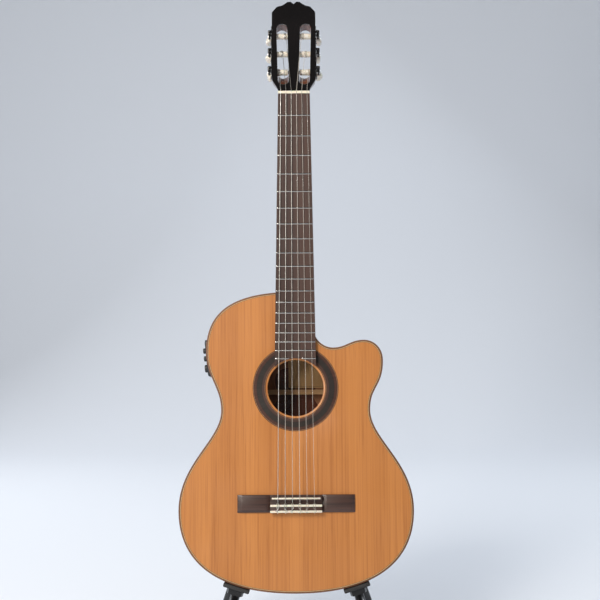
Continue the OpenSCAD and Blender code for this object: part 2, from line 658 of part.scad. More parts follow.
// ---- stand ----
module hub_plate_shape() polygon([[-pin_x - 14, -14], [pin_x + 14, -14], [pin_x + 14, 8],
  [pin_x + 6, 24], [-pin_x - 6, 24], [-pin_x - 14, 8]]);
module pin_bores(r) for (side = [-1, 1]) translate([side * pin_x, 0, hub_z]) rotate([-90, 0, 0])
  cylinder(h = far, r = r);
module stand_hub() color("black") guitar_frame() difference() {
  union() {
    translate([0, 0, hub_z]) slab(hub_y, hub_y + hub_plate) hub_plate_shape();
    translate([0, 0, hub_z]) slab(rear_plate_y, rear_plate_y + hub_plate) hub_plate_shape();
    translate([-pin_x - 5, hub_y + 1, hub_z + lug_r + 2.5]) cube([2 * pin_x + 10, plate_gap + 6, 8]);
  }
  pin_bores(pin_r);
}
module back_rest() color("dimgray") guitar_frame() difference() {
  translate([0, 0, hub_z + 4]) slab(upper_depth, hub_y) polygon(soft_box(64, 46, 8));
  from_back(-far, rest_gap);
}
module hinge_pins() color("silver") guitar_frame() for (side = [-1, 1])
  translate([side * pin_x, hub_y + 1, hub_z]) rotate([-90, 0, 0]) {
    cylinder(h = plate_gap + 2 * hub_plate, r = pin_r);
    translate([0, 0, plate_gap + 2 * hub_plate - 1]) cylinder(h = 2.5, r = pin_r + 3);
  }

function front_foot(side) = [side * foot_x, place_y - front_reach, foot_pad];
function rear_foot(side) = [side * foot_x, place_y + rear_reach, foot_pad];
rear_r = leg_r - 1;
elbow_r = leg_r + 2;
module leg_tubes(side) {
  rod(leg_at(side, 2), leg_at(side, bend_u - 1), leg_r);
  rod(leg_at(side, bend_u - elbow_r), leg_at(side, bend_u + elbow_r), elbow_r);
  rod(leg_at(side, bend_u), front_foot(side), leg_r);
  rod(leg_at(side, 34), rear_foot(side), rear_r);
}
module leg_stop(side, u) rod(leg_at(side, u), leg_at(side, u + ring_t), leg_r + 3);
module leg(side) color("black") difference() {
  union() {
    guitar_frame() translate([side * pin_x, leg_y - lug_t / 2, hub_z]) rotate([-90, 0, 0])
      cylinder(h = lug_t, r = lug_r);
    leg_tubes(side);
    leg_stop(side, collar_u - ring_t - 0.4);
    leg_stop(side, collar_u + collar_h + 0.4);
  }
  guitar_frame() pin_bores(pin_r + fit);
}
module feet(side) color("dimgray") for (p = [front_foot(side), rear_foot(side)]) difference() {
  translate([p.x, p.y, 0]) cylinder(h = foot_h, r = foot_r);
  leg_tubes(side);
}

// z runs down the leg from its pin and -y points to the front of the guitar
module arm_frame(side) guitar_frame() translate([side * pin_x, leg_y, hub_z])
  rotate([0, 180 - side * splay, 0]) children();
module arm(side) color("black") arm_frame(side) difference() {
  union() {
    translate([0, 0, collar_u]) cylinder(h = collar_h, r = collar_r);
    translate([-arm_w / 2, -leg_y - 2, pad_u + pad_t]) cube([arm_w, leg_y + 2, arm_t]);
  }
  translate([0, 0, -far]) cylinder(h = 2 * far, r = leg_r + fit);
}
module pad(side) color("dimgray") arm_frame(side) translate([-pad_w / 2, -leg_y - 5, pad_u])
  cube([pad_w, leg_y + 5 - collar_r - 2, pad_t]);

top_plate();
back_plate();
sides();
bindings();
linings();
braces();
neck_block();
tail_block();
rosette();
neck();
headstock();
head_veneer();
fretboard();
frets();
nut();
bridge();
saddle();
tie_strips();
bass_strings();
treble_strings();
tuner_plate(-1);  // tuner_plate_left
tuner_plate(1);  // tuner_plate_right
tuner_screws();
roller(0);  // roller_e6
roller(1);  // roller_a5
roller(2);  // roller_d4
roller(3);  // roller_g3
roller(4);  // roller_b2
roller(5);  // roller_e1
worm(0);  // worm_e6
worm(1);  // worm_a5
worm(2);  // worm_d4
worm(3);  // worm_g3
worm(4);  // worm_b2
worm(5);  // worm_e1
button(0);  // button_e6
button(1);  // button_a5
button(2);  // button_d4
button(3);  // button_g3
button(4);  // button_b2
button(5);  // button_e1
preamp_panel();
preamp_box();
knob(0);  // volume_knob
knob(1);  // bass_knob
knob(2);  // treble_knob
phase_button();
jack_socket();
stand_hub();
back_rest();
hinge_pins();
leg(-1);  // left_leg
leg(1);  // right_leg
feet(-1);  // left_feet
feet(1);  // right_feet
arm(-1);  // left_arm
arm(1);  // right_arm
pad(-1);  // left_pad
pad(1);  // right_pad
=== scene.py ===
import bpy
import math
import numpy as np
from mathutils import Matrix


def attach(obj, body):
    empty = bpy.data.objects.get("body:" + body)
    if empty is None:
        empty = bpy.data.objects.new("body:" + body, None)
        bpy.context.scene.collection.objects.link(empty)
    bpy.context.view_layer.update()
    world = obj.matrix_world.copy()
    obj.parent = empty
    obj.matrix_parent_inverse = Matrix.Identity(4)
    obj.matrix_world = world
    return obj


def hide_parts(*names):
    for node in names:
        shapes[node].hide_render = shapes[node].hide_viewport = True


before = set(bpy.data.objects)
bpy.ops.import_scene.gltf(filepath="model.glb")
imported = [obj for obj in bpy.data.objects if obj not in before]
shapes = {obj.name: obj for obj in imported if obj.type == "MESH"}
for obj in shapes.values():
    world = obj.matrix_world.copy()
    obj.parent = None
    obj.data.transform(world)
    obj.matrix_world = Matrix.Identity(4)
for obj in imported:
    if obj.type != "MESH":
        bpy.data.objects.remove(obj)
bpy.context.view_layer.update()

print("frame loaded:", len(shapes), "CAD nodes")

# The guitar's own measures in millimetres: x across, y into the body from its top, z up the strings
guitar = dict(length=472.0, lowerW=368.6, waistW=235.8, upperW=284.4, lowerZ=128.0, waistZ=283.0,
              upperZ=378.0,
              lowerDepth=96.0, upperDepth=90.0, plateT=2.8, sideT=2.2, bindD=5.6,
              cutDepth=90.0, cutX=60.2, hornRise=12.1, hornX=108.9, heelW=59.0,
              holeR=44.5, holeDrop=154.0, scale=650.0, nutT=4.5)
head = dict(pitch=14.0, length=156.0, crest=21.4, width=73.6, thick=17.0, veneer=2.0, barW=18.8, slotW=18.4,
            rollerZ=43.0, rollerPitch=35.3, rollerR=5.0, rollerY=8.0)
stand = dict(lean=10.0, restH=130.0, splay=17.0, legR=8.0, frontReach=72.0, rearReach=212.0, pinX=14.0,
             padW=42.0, padT=6.0, gap=0.4, armW=26.0, armT=8.0, collarH=26.0, footR=12.0)

lean = math.radians(stand["lean"])
pitch = math.radians(head["pitch"])
holeZ = guitar["length"] - guitar["holeDrop"]
nutZ = guitar["length"] + guitar["scale"] / 2 + 0.5
headBase = nutZ + guitar["nutT"]
saddleZ = nutZ - guitar["scale"] - 1.5
taper = (guitar["lowerDepth"] - guitar["upperDepth"]) / guitar["length"]
crestReach = head["length"] + head["crest"]
crestY = ((crestReach * math.sin(pitch) + head["thick"] * math.cos(pitch)) * math.cos(lean)
          + (headBase + crestReach * math.cos(pitch)) * math.sin(lean))
placeY = (stand["frontReach"] + stand["footR"] - max(stand["rearReach"] + stand["footR"], crestY)) / 2


def inGuitar(p):
    # the leaned frame: y and z turn together by the lean, then the whole moves to its place on the floor
    p = np.asarray(p, float)
    x, y, z = p[..., 0], p[..., 1], p[..., 2]
    return np.stack([x, placeY + y * math.cos(lean) + z * math.sin(lean),
                     stand["restH"] - y * math.sin(lean) + z * math.cos(lean)], -1) / 1000


def headToGuitar(p):
    # the headstock tips back by its pitch from the end of the nut
    p = np.asarray(p, float)
    x, y, z = p[..., 0], p[..., 1], p[..., 2]
    return np.stack([x, y * math.cos(pitch) + z * math.sin(pitch),
                     headBase - y * math.sin(pitch) + z * math.cos(pitch)], -1)


def inHead(p):
    # from the headstock to the guitar, then to the floor frame
    return inGuitar(headToGuitar(p))


def onFloor(p):
    # millimetres over a thousand
    return np.asarray(p, float) / 1000


def addPiece(name, verts, quads, quadUv=None, tris=None, triUv=None, mats=(), quadMat=None,
             body="guitar", stands=(), slot=None, sharp=40.0):
    # a mesh from its points and faces, turned round if its volume comes out negative
    verts = np.asarray(verts, float)
    groups = [g for g in (quads, tris) if g is not None and len(g)]
    volume = sum(signedVolume(verts, g) for g in groups)
    if volume < 0:
        quads = None if quads is None else quads[:, ::-1]
        quadUv = None if quadUv is None else quadUv[:, ::-1]
        tris = None if tris is None else tris[:, ::-1]
        triUv = None if triUv is None else triUv[:, ::-1]
    mesh = bpy.data.meshes.new(name)
    faces = [] if quads is None else quads.tolist()
    faces += [] if tris is None else tris.tolist()
    mesh.from_pydata(verts.tolist(), [], faces)
    uvs = [a.reshape(-1, 2) for a in (quadUv, triUv) if a is not None]
    if uvs:
        layer = mesh.uv_layers.new(name="surface")
        flat = np.concatenate(uvs)
        if len(flat) == len(mesh.loops):
            layer.data.foreach_set("uv", flat.ravel().astype(np.float32))
    for mat in mats:
        mesh.materials.append(mat)
    if quadMat is not None:
        index = np.zeros(len(mesh.polygons), np.int32)
        index[:len(quadMat)] = quadMat
        mesh.polygons.foreach_set("material_index", index)
    mesh.polygons.foreach_set("use_smooth", np.ones(len(mesh.polygons), bool))
    mesh.set_sharp_from_angle(angle=math.radians(sharp))
    mesh.update()
    piece = bpy.data.objects.new(name, mesh)
    bpy.context.scene.collection.objects.link(piece)
    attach(piece, body)
    if stands:
        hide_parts(*stands)
    return piece


def signedVolume(verts, faces):
    # six times the volume of the tetrahedra from the origin to each face's fan
    total = 0.0
    for k in range(1, faces.shape[1] - 1):
        a, b, c = verts[faces[:, 0]], verts[faces[:, k]], verts[faces[:, k + 1]]
        total += float(np.einsum("ij,ij->i", a, np.cross(b, c)).sum())
    return total


def gridQuads(rows, cols, closeRows, closeCols):
    # each cell of the grid is one face; a closed direction wraps its last line to its first
    i, j = np.meshgrid(np.arange(rows if closeRows else rows - 1),
                       np.arange(cols if closeCols else cols - 1), indexing="ij")
    ci = np.stack([i, i + 1, i + 1, i], -1).reshape(-1, 4)
    cj = np.stack([j, j, j + 1, j + 1], -1).reshape(-1, 4)
    return (ci % rows) * cols + cj % cols, ci, cj


def surface(points, closeRows=False, closeCols=True, caps=True, uv=None):
    # a grid of points made into faces; the ends of an open tube are closed by a fan to the ring's middle
    points = np.asarray(points, float)
    rows, cols = points.shape[:2]
    quads, ci, cj = gridQuads(rows, cols, closeRows, closeCols)
    if uv is None:
        along = np.linalg.norm(np.diff(points, axis=0, append=points[:1]), axis=2).mean(1)
        around = np.linalg.norm(np.diff(points, axis=1, append=points[:, :1]), axis=2).mean(0)
        u = np.concatenate([[0], np.cumsum(around)])
        v = np.concatenate([[0], np.cumsum(along)])
        quadUv = np.stack([u[cj], v[ci]], -1)
    else:
        quadUv = uv[ci, cj]
    verts = points.reshape(-1, 3)
    tris = triUv = None
    if caps and not closeRows:
        middle = points[[0, -1]].mean(1)
        n = len(verts)
        verts = np.concatenate([verts, middle])
        j = np.arange(cols)
        near = np.stack([np.full(cols, n), j, (j + 1) % cols], -1)
        lastRow = (rows - 1) * cols
        away = np.stack([np.full(cols, n + 1), lastRow + (j + 1) % cols, lastRow + j], -1)
        tris = np.concatenate([near, away])
        # the first row's faces run along then across, so its fan runs the other way round
        tris = tris[:, ::-1] if not fansAgree(quads, near) else tris
        triUv = np.zeros((len(tris), 3, 2))
        turn = 2 * np.pi * np.arange(cols) / cols
        rim = np.stack([np.cos(turn), np.sin(turn)], -1) * 0.004
        triUv[:cols, 1:] = np.stack([rim, np.roll(rim, -1, 0)], 1)
        triUv[cols:, 1:] = np.stack([np.roll(rim, -1, 0), rim], 1)
    return dict(verts=verts, quads=quads, quadUv=quadUv, tris=tris, triUv=triUv)


def fansAgree(quads, near):
    # two faces beside each other point the same way when they run along their shared edge in opposite ways
    edge = (near[0, 1], near[0, 2])
    for face in quads[:2]:
        loop = list(face) + [face[0]]
        if any((loop[k], loop[k + 1]) == edge for k in range(4)):
            return False
    return True


def joined(parts):
    # several closed surfaces in one mesh
    verts, quads, quadUv, tris, triUv, start = [], [], [], [], [], 0
    for part in parts:
        verts.append(part["verts"])
        quads.append(part["quads"] + start)
        quadUv.append(part["quadUv"])
        if part["tris"] is not None:
            tris.append(part["tris"] + start)
            triUv.append(part["triUv"])
        start += len(part["verts"])
    return dict(verts=np.concatenate(verts), quads=np.concatenate(quads), quadUv=np.concatenate(quadUv),
                tris=np.concatenate(tris) if tris else None, triUv=np.concatenate(triUv) if triUv else None)


def placedBy(place, part):
    # the same surface with its points moved by place
    return dict(part, verts=place(part["verts"]))


def circle(n, turns=1.0):
    # the cosine and sine of n equal steps round a turn
    a = np.arange(n) * 2 * np.pi * turns / n
    return np.cos(a), np.sin(a)


def smooth(t):
    # slow at both ends: three t squared less two t cubed
    t = np.clip(t, 0, 1)
    return t * t * (3 - 2 * t)


def turned(stations, radii, n=48, ripple=None):
    # a lathe shape about z: each station's radius is carried round; ripple multiplies it by angle and
    # station
    c, s = circle(n)
    r = np.asarray(radii, float)[:, None] * np.ones(n)
    if ripple is not None:
        r = r * ripple(np.arctan2(s, c)[None], np.asarray(stations, float)[:, None])
    z = np.asarray(stations, float)[:, None] * np.ones(n)
    return surface(np.stack([r * c, r * s, z], -1))


def cubicSpan(f, a, b, slopeA, slopeB):
    # the cubic from a to b with given slopes at its ends, at the fraction f
    return ((2 * f**3 - 3 * f**2 + 1) * a + (f**3 - 2 * f**2 + f) * slopeA
            + (3 * f**2 - 2 * f**3) * b + (f**3 - f**2) * slopeB)


def parabola(p, b, q, n):
    # p, b and q weighted by (1 - t) squared, 2t(1 - t) and t squared
    t = np.linspace(0, 1, n)[:, None]
    return (1 - t)**2 * p + 2 * t * (1 - t) * b + t**2 * q


def easedCorner(a, b, d, reach, n):
    # a parabola between the points a little way from b towards a and towards d
    p = b + (a - b) * min(reach / np.linalg.norm(a - b), 0.45)
    q = b + (d - b) * min(reach / np.linalg.norm(d - b), 0.45)
    return parabola(p, b, q, n)


def smoothPath(points, n):
    # a curve through the points: each span is the cubic whose slopes are half the gap between its neighbours
    p = np.asarray(points, float)
    m = np.gradient(p, axis=0)
    t = np.linspace(0, len(p) - 1, n)
    k = np.minimum(t.astype(int), len(p) - 2)
    f = (t - k)[:, None]
    return cubicSpan(f, p[k], p[k + 1], m[k], m[k + 1])


def tube(path, radius, n=16, hint=(1.0, 0.0, 0.0)):
    # a round section carried square to the path, turned as little as can be from ring to ring
    path = np.asarray(path, float)
    along = np.gradient(path, axis=0)
    along /= np.linalg.norm(along, axis=1)[:, None]
    side = np.zeros_like(path)
    across = np.asarray(hint, float)
    for i in range(len(path)):
        across = across - np.dot(across, along[i]) * along[i]
        across = across / np.linalg.norm(across)
        side[i] = across
    other = np.cross(along, side)
    c, s = circle(n)
    r = np.broadcast_to(np.asarray(radius, float), (len(path),))[:, None, None]
    rings = path[:, None] + r * (side[:, None] * c[None, :, None] + other[:, None] * s[None, :, None])
    return surface(rings)


def softRect(w, h, r, n=6):
    # a rectangle whose corners are quarter circles
    a = np.linspace(0, np.pi / 2, n)
    corner = r * np.stack([np.cos(a), np.sin(a)], -1)
    turns = [(1, 1, 0), (-1, 1, 1), (-1, -1, 2), (1, -1, 3)]
    out = []
    for sx, sy, q in turns:
        c, s = round(math.cos(q * math.pi / 2)), round(math.sin(q * math.pi / 2))
        out.append(corner @ np.array([[c, s], [-s, c]]) + [sx * (w / 2 - r), sy * (h / 2 - r)])
    return np.concatenate(out)


def insetOutline(p, d):
    # every point moves inward along the mitre of its two edges
    back = p - np.roll(p, 1, 0)
    fore = np.roll(p, -1, 0) - p
    back /= np.linalg.norm(back, axis=1)[:, None]
    fore /= np.linalg.norm(fore, axis=1)[:, None]
    mitre = np.stack([-back[:, 1] - fore[:, 1], back[:, 0] + fore[:, 0]], -1)
    return p + d * mitre / (1 + (back * fore).sum(1))[:, None]


def plateSolid(outline, low, high, edge=0.5, steps=3):
    # an outline in x and z, given thickness along y, with both its edges rounded by a quarter circle
    a = np.linspace(0, np.pi / 2, steps + 1)
    inset = edge * (1 - np.sin(a))
    rise = edge * (1 - np.cos(a))
    rings = [np.insert(insetOutline(outline, i), 1, low + r, 1) for i, r in zip(inset, rise)]
    rings += [np.insert(insetOutline(outline, i), 1, high - r, 1) for i, r in zip(inset[::-1], rise[::-1])]
    return surface(np.array(rings))


def block(x, y, z, edge=0.5):
    # a box with rounded edges, from its limits in x, y and z
    w, h = x[1] - x[0], z[1] - z[0]
    outline = softRect(w, h, edge * 1.01, 4) + [(x[0] + x[1]) / 2, (z[0] + z[1]) / 2]
    return plateSolid(outline, y[0], y[1], edge * 0.99)


def newGroup(name, inputs, outputs):
    # a node group with named inputs and outputs
    group = bpy.data.node_groups.new(name, "ShaderNodeTree")
    for label, kind, value in inputs:
        socket = group.interface.new_socket(label, in_out="INPUT", socket_type=kind)
        if value is not None:
            socket.default_value = value
    for label, kind in outputs:
        group.interface.new_socket(label, in_out="OUTPUT", socket_type=kind)
    return group, group.nodes.new("NodeGroupInput"), group.nodes.new("NodeGroupOutput")


def node(tree, kind, settings=None, **values):
    # a shader node with its settings and its input values
    made = tree.nodes.new("ShaderNode" + kind)
    for key, value in (settings or {}).items():
        setattr(made, key, value)
    for key, value in values.items():
        made.inputs[key].default_value = value
    return made


def wire(tree, *pairs):
    # one link for each pair of sockets
    for source, target in pairs:
        tree.links.new(source, target)


def mathNode(tree, operation, a, b=None, clamp=False):
    # one sum on two values, either of which may be a number or a socket
    made = node(tree, "Math", {"operation": operation, "use_clamp": clamp})
    for k, value in enumerate((a, b)):
        if value is None:
            continue
        if isinstance(value, (int, float)):
            made.inputs[k].default_value = value
        else:
            tree.links.new(value, made.inputs[k])
    return made.outputs[0]


def mixColour(tree, factor, a, b, kind="MIX"):
    # colour b over colour a by the factor
    made = node(tree, "Mix", {"data_type": "RGBA", "blend_type": kind})
    for socket, value in ((made.inputs[0], factor), (made.inputs[6], a), (made.inputs[7], b)):
        if isinstance(value, (int, float, tuple)):
            socket.default_value = value
        else:
            tree.links.new(value, socket)
    return made.outputs[2]


def rampNode(tree, factor, stops, kind="LINEAR"):
    # grey or coloured stops along a ramp that a factor reads
    made = node(tree, "ValToRGB")
    ramp = made.color_ramp
    ramp.interpolation = kind
    while len(ramp.elements) < len(stops):
        ramp.elements.new(0.5)
    for element, (place, value) in zip(ramp.elements, stops):
        element.position = place
        element.color = (value, value, value, 1) if isinstance(value, (int, float)) else value
    tree.links.new(factor, made.inputs[0])
    return made.outputs[0]


def makeGrainGroup():
    # fibres are noise drawn out along the third axis; growth lines are a coarser noise; pores are fine dark
    # dashes
    group, start, end = newGroup("wood grain", [
        ("Vector", "NodeSocketVector", None), ("Light", "NodeSocketColor", (0.6, 0.3, 0.1, 1)),
        ("Dark", "NodeSocketColor", (0.3, 0.12, 0.04, 1)), ("Lines", "NodeSocketFloat", 300.0),
        ("Stretch", "NodeSocketFloat", 0.02), ("Line strength", "NodeSocketFloat", 0.5),
        ("Pores", "NodeSocketFloat", 0.3)],
        [("Color", "NodeSocketColor"), ("Fibre", "NodeSocketFloat"), ("Height", "NodeSocketFloat")])
    t = group
    drawn = node(t, "CombineXYZ", None, X=1.0, Y=1.0)
    wire(t, (start.outputs["Stretch"], drawn.inputs["Z"]))
    long = node(t, "VectorMath", {"operation": "MULTIPLY"})
    wire(t, (start.outputs["Vector"], long.inputs[0]), (drawn.outputs[0], long.inputs[1]))
    waver = node(t, "TexNoise", None, Scale=3.0, Detail=2.0)
    wire(t, (start.outputs["Vector"], waver.inputs["Vector"]))
    shift = node(t, "VectorMath", {"operation": "SCALE"})
    shift.inputs["Scale"].default_value = 0.006
    wire(t, (waver.outputs["Color"], shift.inputs[0]))
    bent = node(t, "VectorMath", {"operation": "ADD"})
    wire(t, (long.outputs[0], bent.inputs[0]), (shift.outputs[0], bent.inputs[1]))
    lines = node(t, "TexNoise", None, Detail=3.0, Roughness=0.65)
    wire(t, (bent.outputs[0], lines.inputs["Vector"]), (start.outputs["Lines"], lines.inputs["Scale"]))
    broad = node(t, "TexNoise", None, Detail=2.0)
    broadScale = mathNode(t, "MULTIPLY", start.outputs["Lines"], 0.11)
    wire(t, (bent.outputs[0], broad.inputs["Vector"]), (broadScale, broad.inputs["Scale"]))
    fine = node(t, "TexNoise", None, Detail=2.0, Roughness=0.7)
    fineScale = mathNode(t, "MULTIPLY", start.outputs["Lines"], 4.2)
    wire(t, (bent.outputs[0], fine.inputs["Vector"]), (fineScale, fine.inputs["Scale"]))
    dark = rampNode(t, lines.outputs["Fac"], [(0.36, 1.0), (0.47, 0.35), (0.62, 0.0)])
    band = rampNode(t, broad.outputs["Fac"], [(0.33, 1.0), (0.66, 0.0)])
    pore = rampNode(t, fine.outputs["Fac"], [(0.30, 1.0), (0.40, 0.0)])
    both = mathNode(t, "ADD", mathNode(t, "MULTIPLY", dark, 0.6), mathNode(t, "MULTIPLY", band, 0.5))
    strong = mathNode(t, "MULTIPLY", both, start.outputs["Line strength"], clamp=True)
    body = mixColour(t, strong, start.outputs["Light"], start.outputs["Dark"])
    poreStrong = mathNode(t, "MULTIPLY", pore, start.outputs["Pores"], clamp=True)
    shade = mixColour(t, poreStrong, body, start.outputs["Dark"])
    low = mathNode(t, "SUBTRACT", 1.0, mathNode(t, "MAXIMUM", poreStrong,
                                                mathNode(t, "MULTIPLY", strong, 0.4)))
    wire(t, (shade, end.inputs["Color"]), (strong, end.inputs["Fibre"]), (low, end.inputs["Height"]))
    return group


def makeHandlingGroup():
    # wiped and handled gloss: broad soft patches with a few fine scratches over them
    group, start, end = newGroup("handling marks", [
        ("Vector", "NodeSocketVector", None), ("Clean", "NodeSocketFloat", 0.2), ("Worn", "NodeSocketFloat",
                                                                                  0.4),
        ("Size", "NodeSocketFloat", 25.0)],
        [("Roughness", "NodeSocketFloat"), ("Height", "NodeSocketFloat")])
    t = group
    patches = node(t, "TexNoise", None, Detail=4.0, Roughness=0.6)
    wire(t, (start.outputs["Vector"], patches.inputs["Vector"]),
         (start.outputs["Size"], patches.inputs["Scale"]))
    soft = rampNode(t, patches.outputs["Fac"], [(0.35, 0.0), (0.72, 1.0)])
    drawn = node(t, "Mapping")
    drawn.inputs["Scale"].default_value = (1.0, 1.0, 9.0)
    drawn.inputs["Rotation"].default_value = (0.5, 0.4, 0.7)
    wire(t, (start.outputs["Vector"], drawn.inputs["Vector"]))
    scratch = node(t, "TexNoise", None, Scale=160.0, Detail=1.0)
    wire(t, (drawn.outputs[0], scratch.inputs["Vector"]))
    fine = rampNode(t, scratch.outputs["Fac"], [(0.62, 0.0), (0.72, 1.0)])
    amount = mathNode(t, "ADD", mathNode(t, "MULTIPLY", soft, 0.75), mathNode(t, "MULTIPLY", fine, 0.25),
                      clamp=True)
    span = mathNode(t, "SUBTRACT", start.outputs["Worn"], start.outputs["Clean"])
    rough = mathNode(t, "ADD", start.outputs["Clean"], mathNode(t, "MULTIPLY", amount, span))
    wire(t, (rough, end.inputs["Roughness"]), (fine, end.inputs["Height"]))
    return group


def makeSpeckleGroup():
    # a moulded or powder-coated skin: two sizes of noise added together
    group, start, end = newGroup("fine skin", [
        ("Vector", "NodeSocketVector", None), ("Scale", "NodeSocketFloat", 900.0),
        ("Base", "NodeSocketColor", (0.02, 0.02, 0.02, 1)), ("Dusty", "NodeSocketColor",
                                                             (0.06, 0.06, 0.06, 1))],
        [("Color", "NodeSocketColor"), ("Height", "NodeSocketFloat")])
    t = group
    grit = node(t, "TexNoise", None, Detail=3.0, Roughness=0.7)
    wire(t, (start.outputs["Vector"], grit.inputs["Vector"]), (start.outputs["Scale"], grit.inputs["Scale"]))
    cloud = node(t, "TexNoise", None, Scale=18.0, Detail=4.0)
    wire(t, (start.outputs["Vector"], cloud.inputs["Vector"]))
    dusty = mathNode(t, "MULTIPLY", rampNode(t, cloud.outputs["Fac"], [(0.4, 0.0), (0.8, 1.0)]), 0.6)
    wire(t, (mixColour(t, dusty, start.outputs["Base"], start.outputs["Dusty"]), end.inputs["Color"]),
         (grit.outputs["Fac"], end.inputs["Height"]))
    return group


grainGroup = makeGrainGroup()
handlingGroup = makeHandlingGroup()
skinGroup = makeSpeckleGroup()


def finish(name, **constants):
    # a material with its shader; the constants are set on the shader's own sockets
    made = bpy.data.materials.new(name)
    made.use_nodes = True
    tree = made.node_tree
    shader = tree.nodes["Principled BSDF"]
    for key, value in constants.items():
        shader.inputs[key.replace("_", " ")].default_value = value
    return made, tree, shader


def useGroup(tree, group, **values):
    # one use of a node group with its own values
    made = tree.nodes.new("ShaderNodeGroup")
    made.node_tree = group
    for key, value in values.items():
        made.inputs[key.replace("_", " ")].default_value = value
    return made


def coordinate(tree, source="Object", turn=(0, 0, 0), scale=(1, 1, 1)):
    # a place on the piece, turned and scaled before a pattern reads it
    start = node(tree, "TexCoord")
    mapping = node(tree, "Mapping")
    mapping.inputs["Rotation"].default_value = turn
    mapping.inputs["Scale"].default_value = scale
    wire(tree, (start.outputs[source], mapping.inputs["Vector"]))
    return mapping.outputs[0]


def bump(tree, shader, height, strength, distance):
    # the height tilts the normal the shader reads
    made = node(tree, "Bump", None, Strength=strength, Distance=distance)
    wire(tree, (height, made.inputs["Height"]), (made.outputs[0], shader.inputs["Normal"]))
    return made


leanTurn = (lean, 0, 0)
acrossTurn = (0, math.pi / 2, 0)


def woodFinish(name, look, source="Object", turn=leanTurn):
    # grain sets the colour and the relief, handling marks set the sheen
    made, tree, shader = finish(name, Coat_Weight=look["coat"], Coat_Roughness=look["coatRough"])
    vector = coordinate(tree, source, turn)
    grain = useGroup(tree, grainGroup, Light=look["light"], Dark=look["dark"], Lines=look["lines"],
                     Stretch=look["stretch"], Line_strength=look["strength"], Pores=look["pores"])
    marks = useGroup(tree, handlingGroup, Clean=look["rough"], Worn=look["rough"] + 0.12, Size=14.0)
    wire(tree, (vector, grain.inputs["Vector"]), (vector, marks.inputs["Vector"]),
         (grain.outputs["Color"], shader.inputs["Base Color"]),
         (marks.outputs["Roughness"], shader.inputs["Roughness"]))
    bump(tree, shader, grain.outputs["Height"], look["relief"], 0.0004)
    return made


cedarLook = dict(light=(0.58, 0.228, 0.058, 1), dark=(0.31, 0.094, 0.019, 1), lines=330.0, stretch=0.010,
                 strength=0.62, pores=0.22, rough=0.34, coat=0.35, coatRough=0.22, relief=0.12)
mahoganyLook = dict(light=(0.15, 0.042, 0.018, 1), dark=(0.055, 0.014, 0.008, 1), lines=150.0, stretch=0.03,
                    strength=0.85, pores=0.6, rough=0.22, coat=0.7, coatRough=0.08, relief=0.08)
neckLook = dict(light=(0.21, 0.070, 0.028, 1), dark=(0.085, 0.024, 0.011, 1), lines=190.0, stretch=0.03,
                strength=0.8, pores=0.6, rough=0.3, coat=0.45, coatRough=0.18, relief=0.10)
innerLook = dict(light=(0.30, 0.120, 0.045, 1), dark=(0.15, 0.054, 0.020, 1), lines=220.0, stretch=0.02,
                 strength=0.6, pores=0.4, rough=0.62, coat=0.0, coatRough=0.3, relief=0.25)
rosewoodLook = dict(light=(0.070, 0.032, 0.022, 1), dark=(0.020, 0.009, 0.007, 1), lines=260.0,
                    stretch=0.018,
                    strength=0.95, pores=0.8, rough=0.42, coat=0.12, coatRough=0.35, relief=0.30)
bindingLook = dict(light=(0.200, 0.078, 0.030, 1), dark=(0.095, 0.034, 0.014, 1), lines=260.0, stretch=0.02,
                   strength=0.8, pores=0.5, rough=0.45, coat=0.15, coatRough=0.3, relief=0.1)

cedar = woodFinish("cedar soundboard", cedarLook)
mahogany = woodFinish("polished mahogany", mahoganyLook)
bentMahogany = woodFinish("bent mahogany", mahoganyLook, "UV", (0, math.pi / 2, 0))
neckWood = woodFinish("satin neck wood", neckLook)
innerWood = woodFinish("bare inner wood", innerLook)
crossBrace = woodFinish("bare brace wood",
                        dict(innerLook, light=(0.50, 0.29, 0.13, 1), dark=(0.30, 0.15, 0.06, 1)),
                        "Object", acrossTurn)
rosewood = woodFinish("oiled rosewood", rosewoodLook)
bridgeRosewood = woodFinish("bridge rosewood",
                            dict(rosewoodLook, light=(0.085, 0.036, 0.023, 1), lines=200.0,
                                                    coat=0.3), "Object", acrossTurn)
bindingWood = woodFinish("binding rosewood", bindingLook, "UV", (0, math.pi / 2, 0))
print("wood finishes ready")


def plainFinish(name, base, dusty, grit, height, roughness, **constants):
    # a one-colour finish whose tone, sheen and skin still vary
    made, tree, shader = finish(name, **constants)
    vector = coordinate(tree)
    skin = useGroup(tree, skinGroup, Base=base, Dusty=dusty, Scale=grit)
    marks = useGroup(tree, handlingGroup, Clean=roughness[0], Worn=roughness[1], Size=30.0)
    wire(tree, (vector, skin.inputs["Vector"]), (vector, marks.inputs["Vector"]),
         (skin.outputs["Color"], shader.inputs["Base Color"]),
         (marks.outputs["Roughness"], shader.inputs["Roughness"]))
    bump(tree, shader, skin.outputs["Height"], height, 0.0003)
    return made


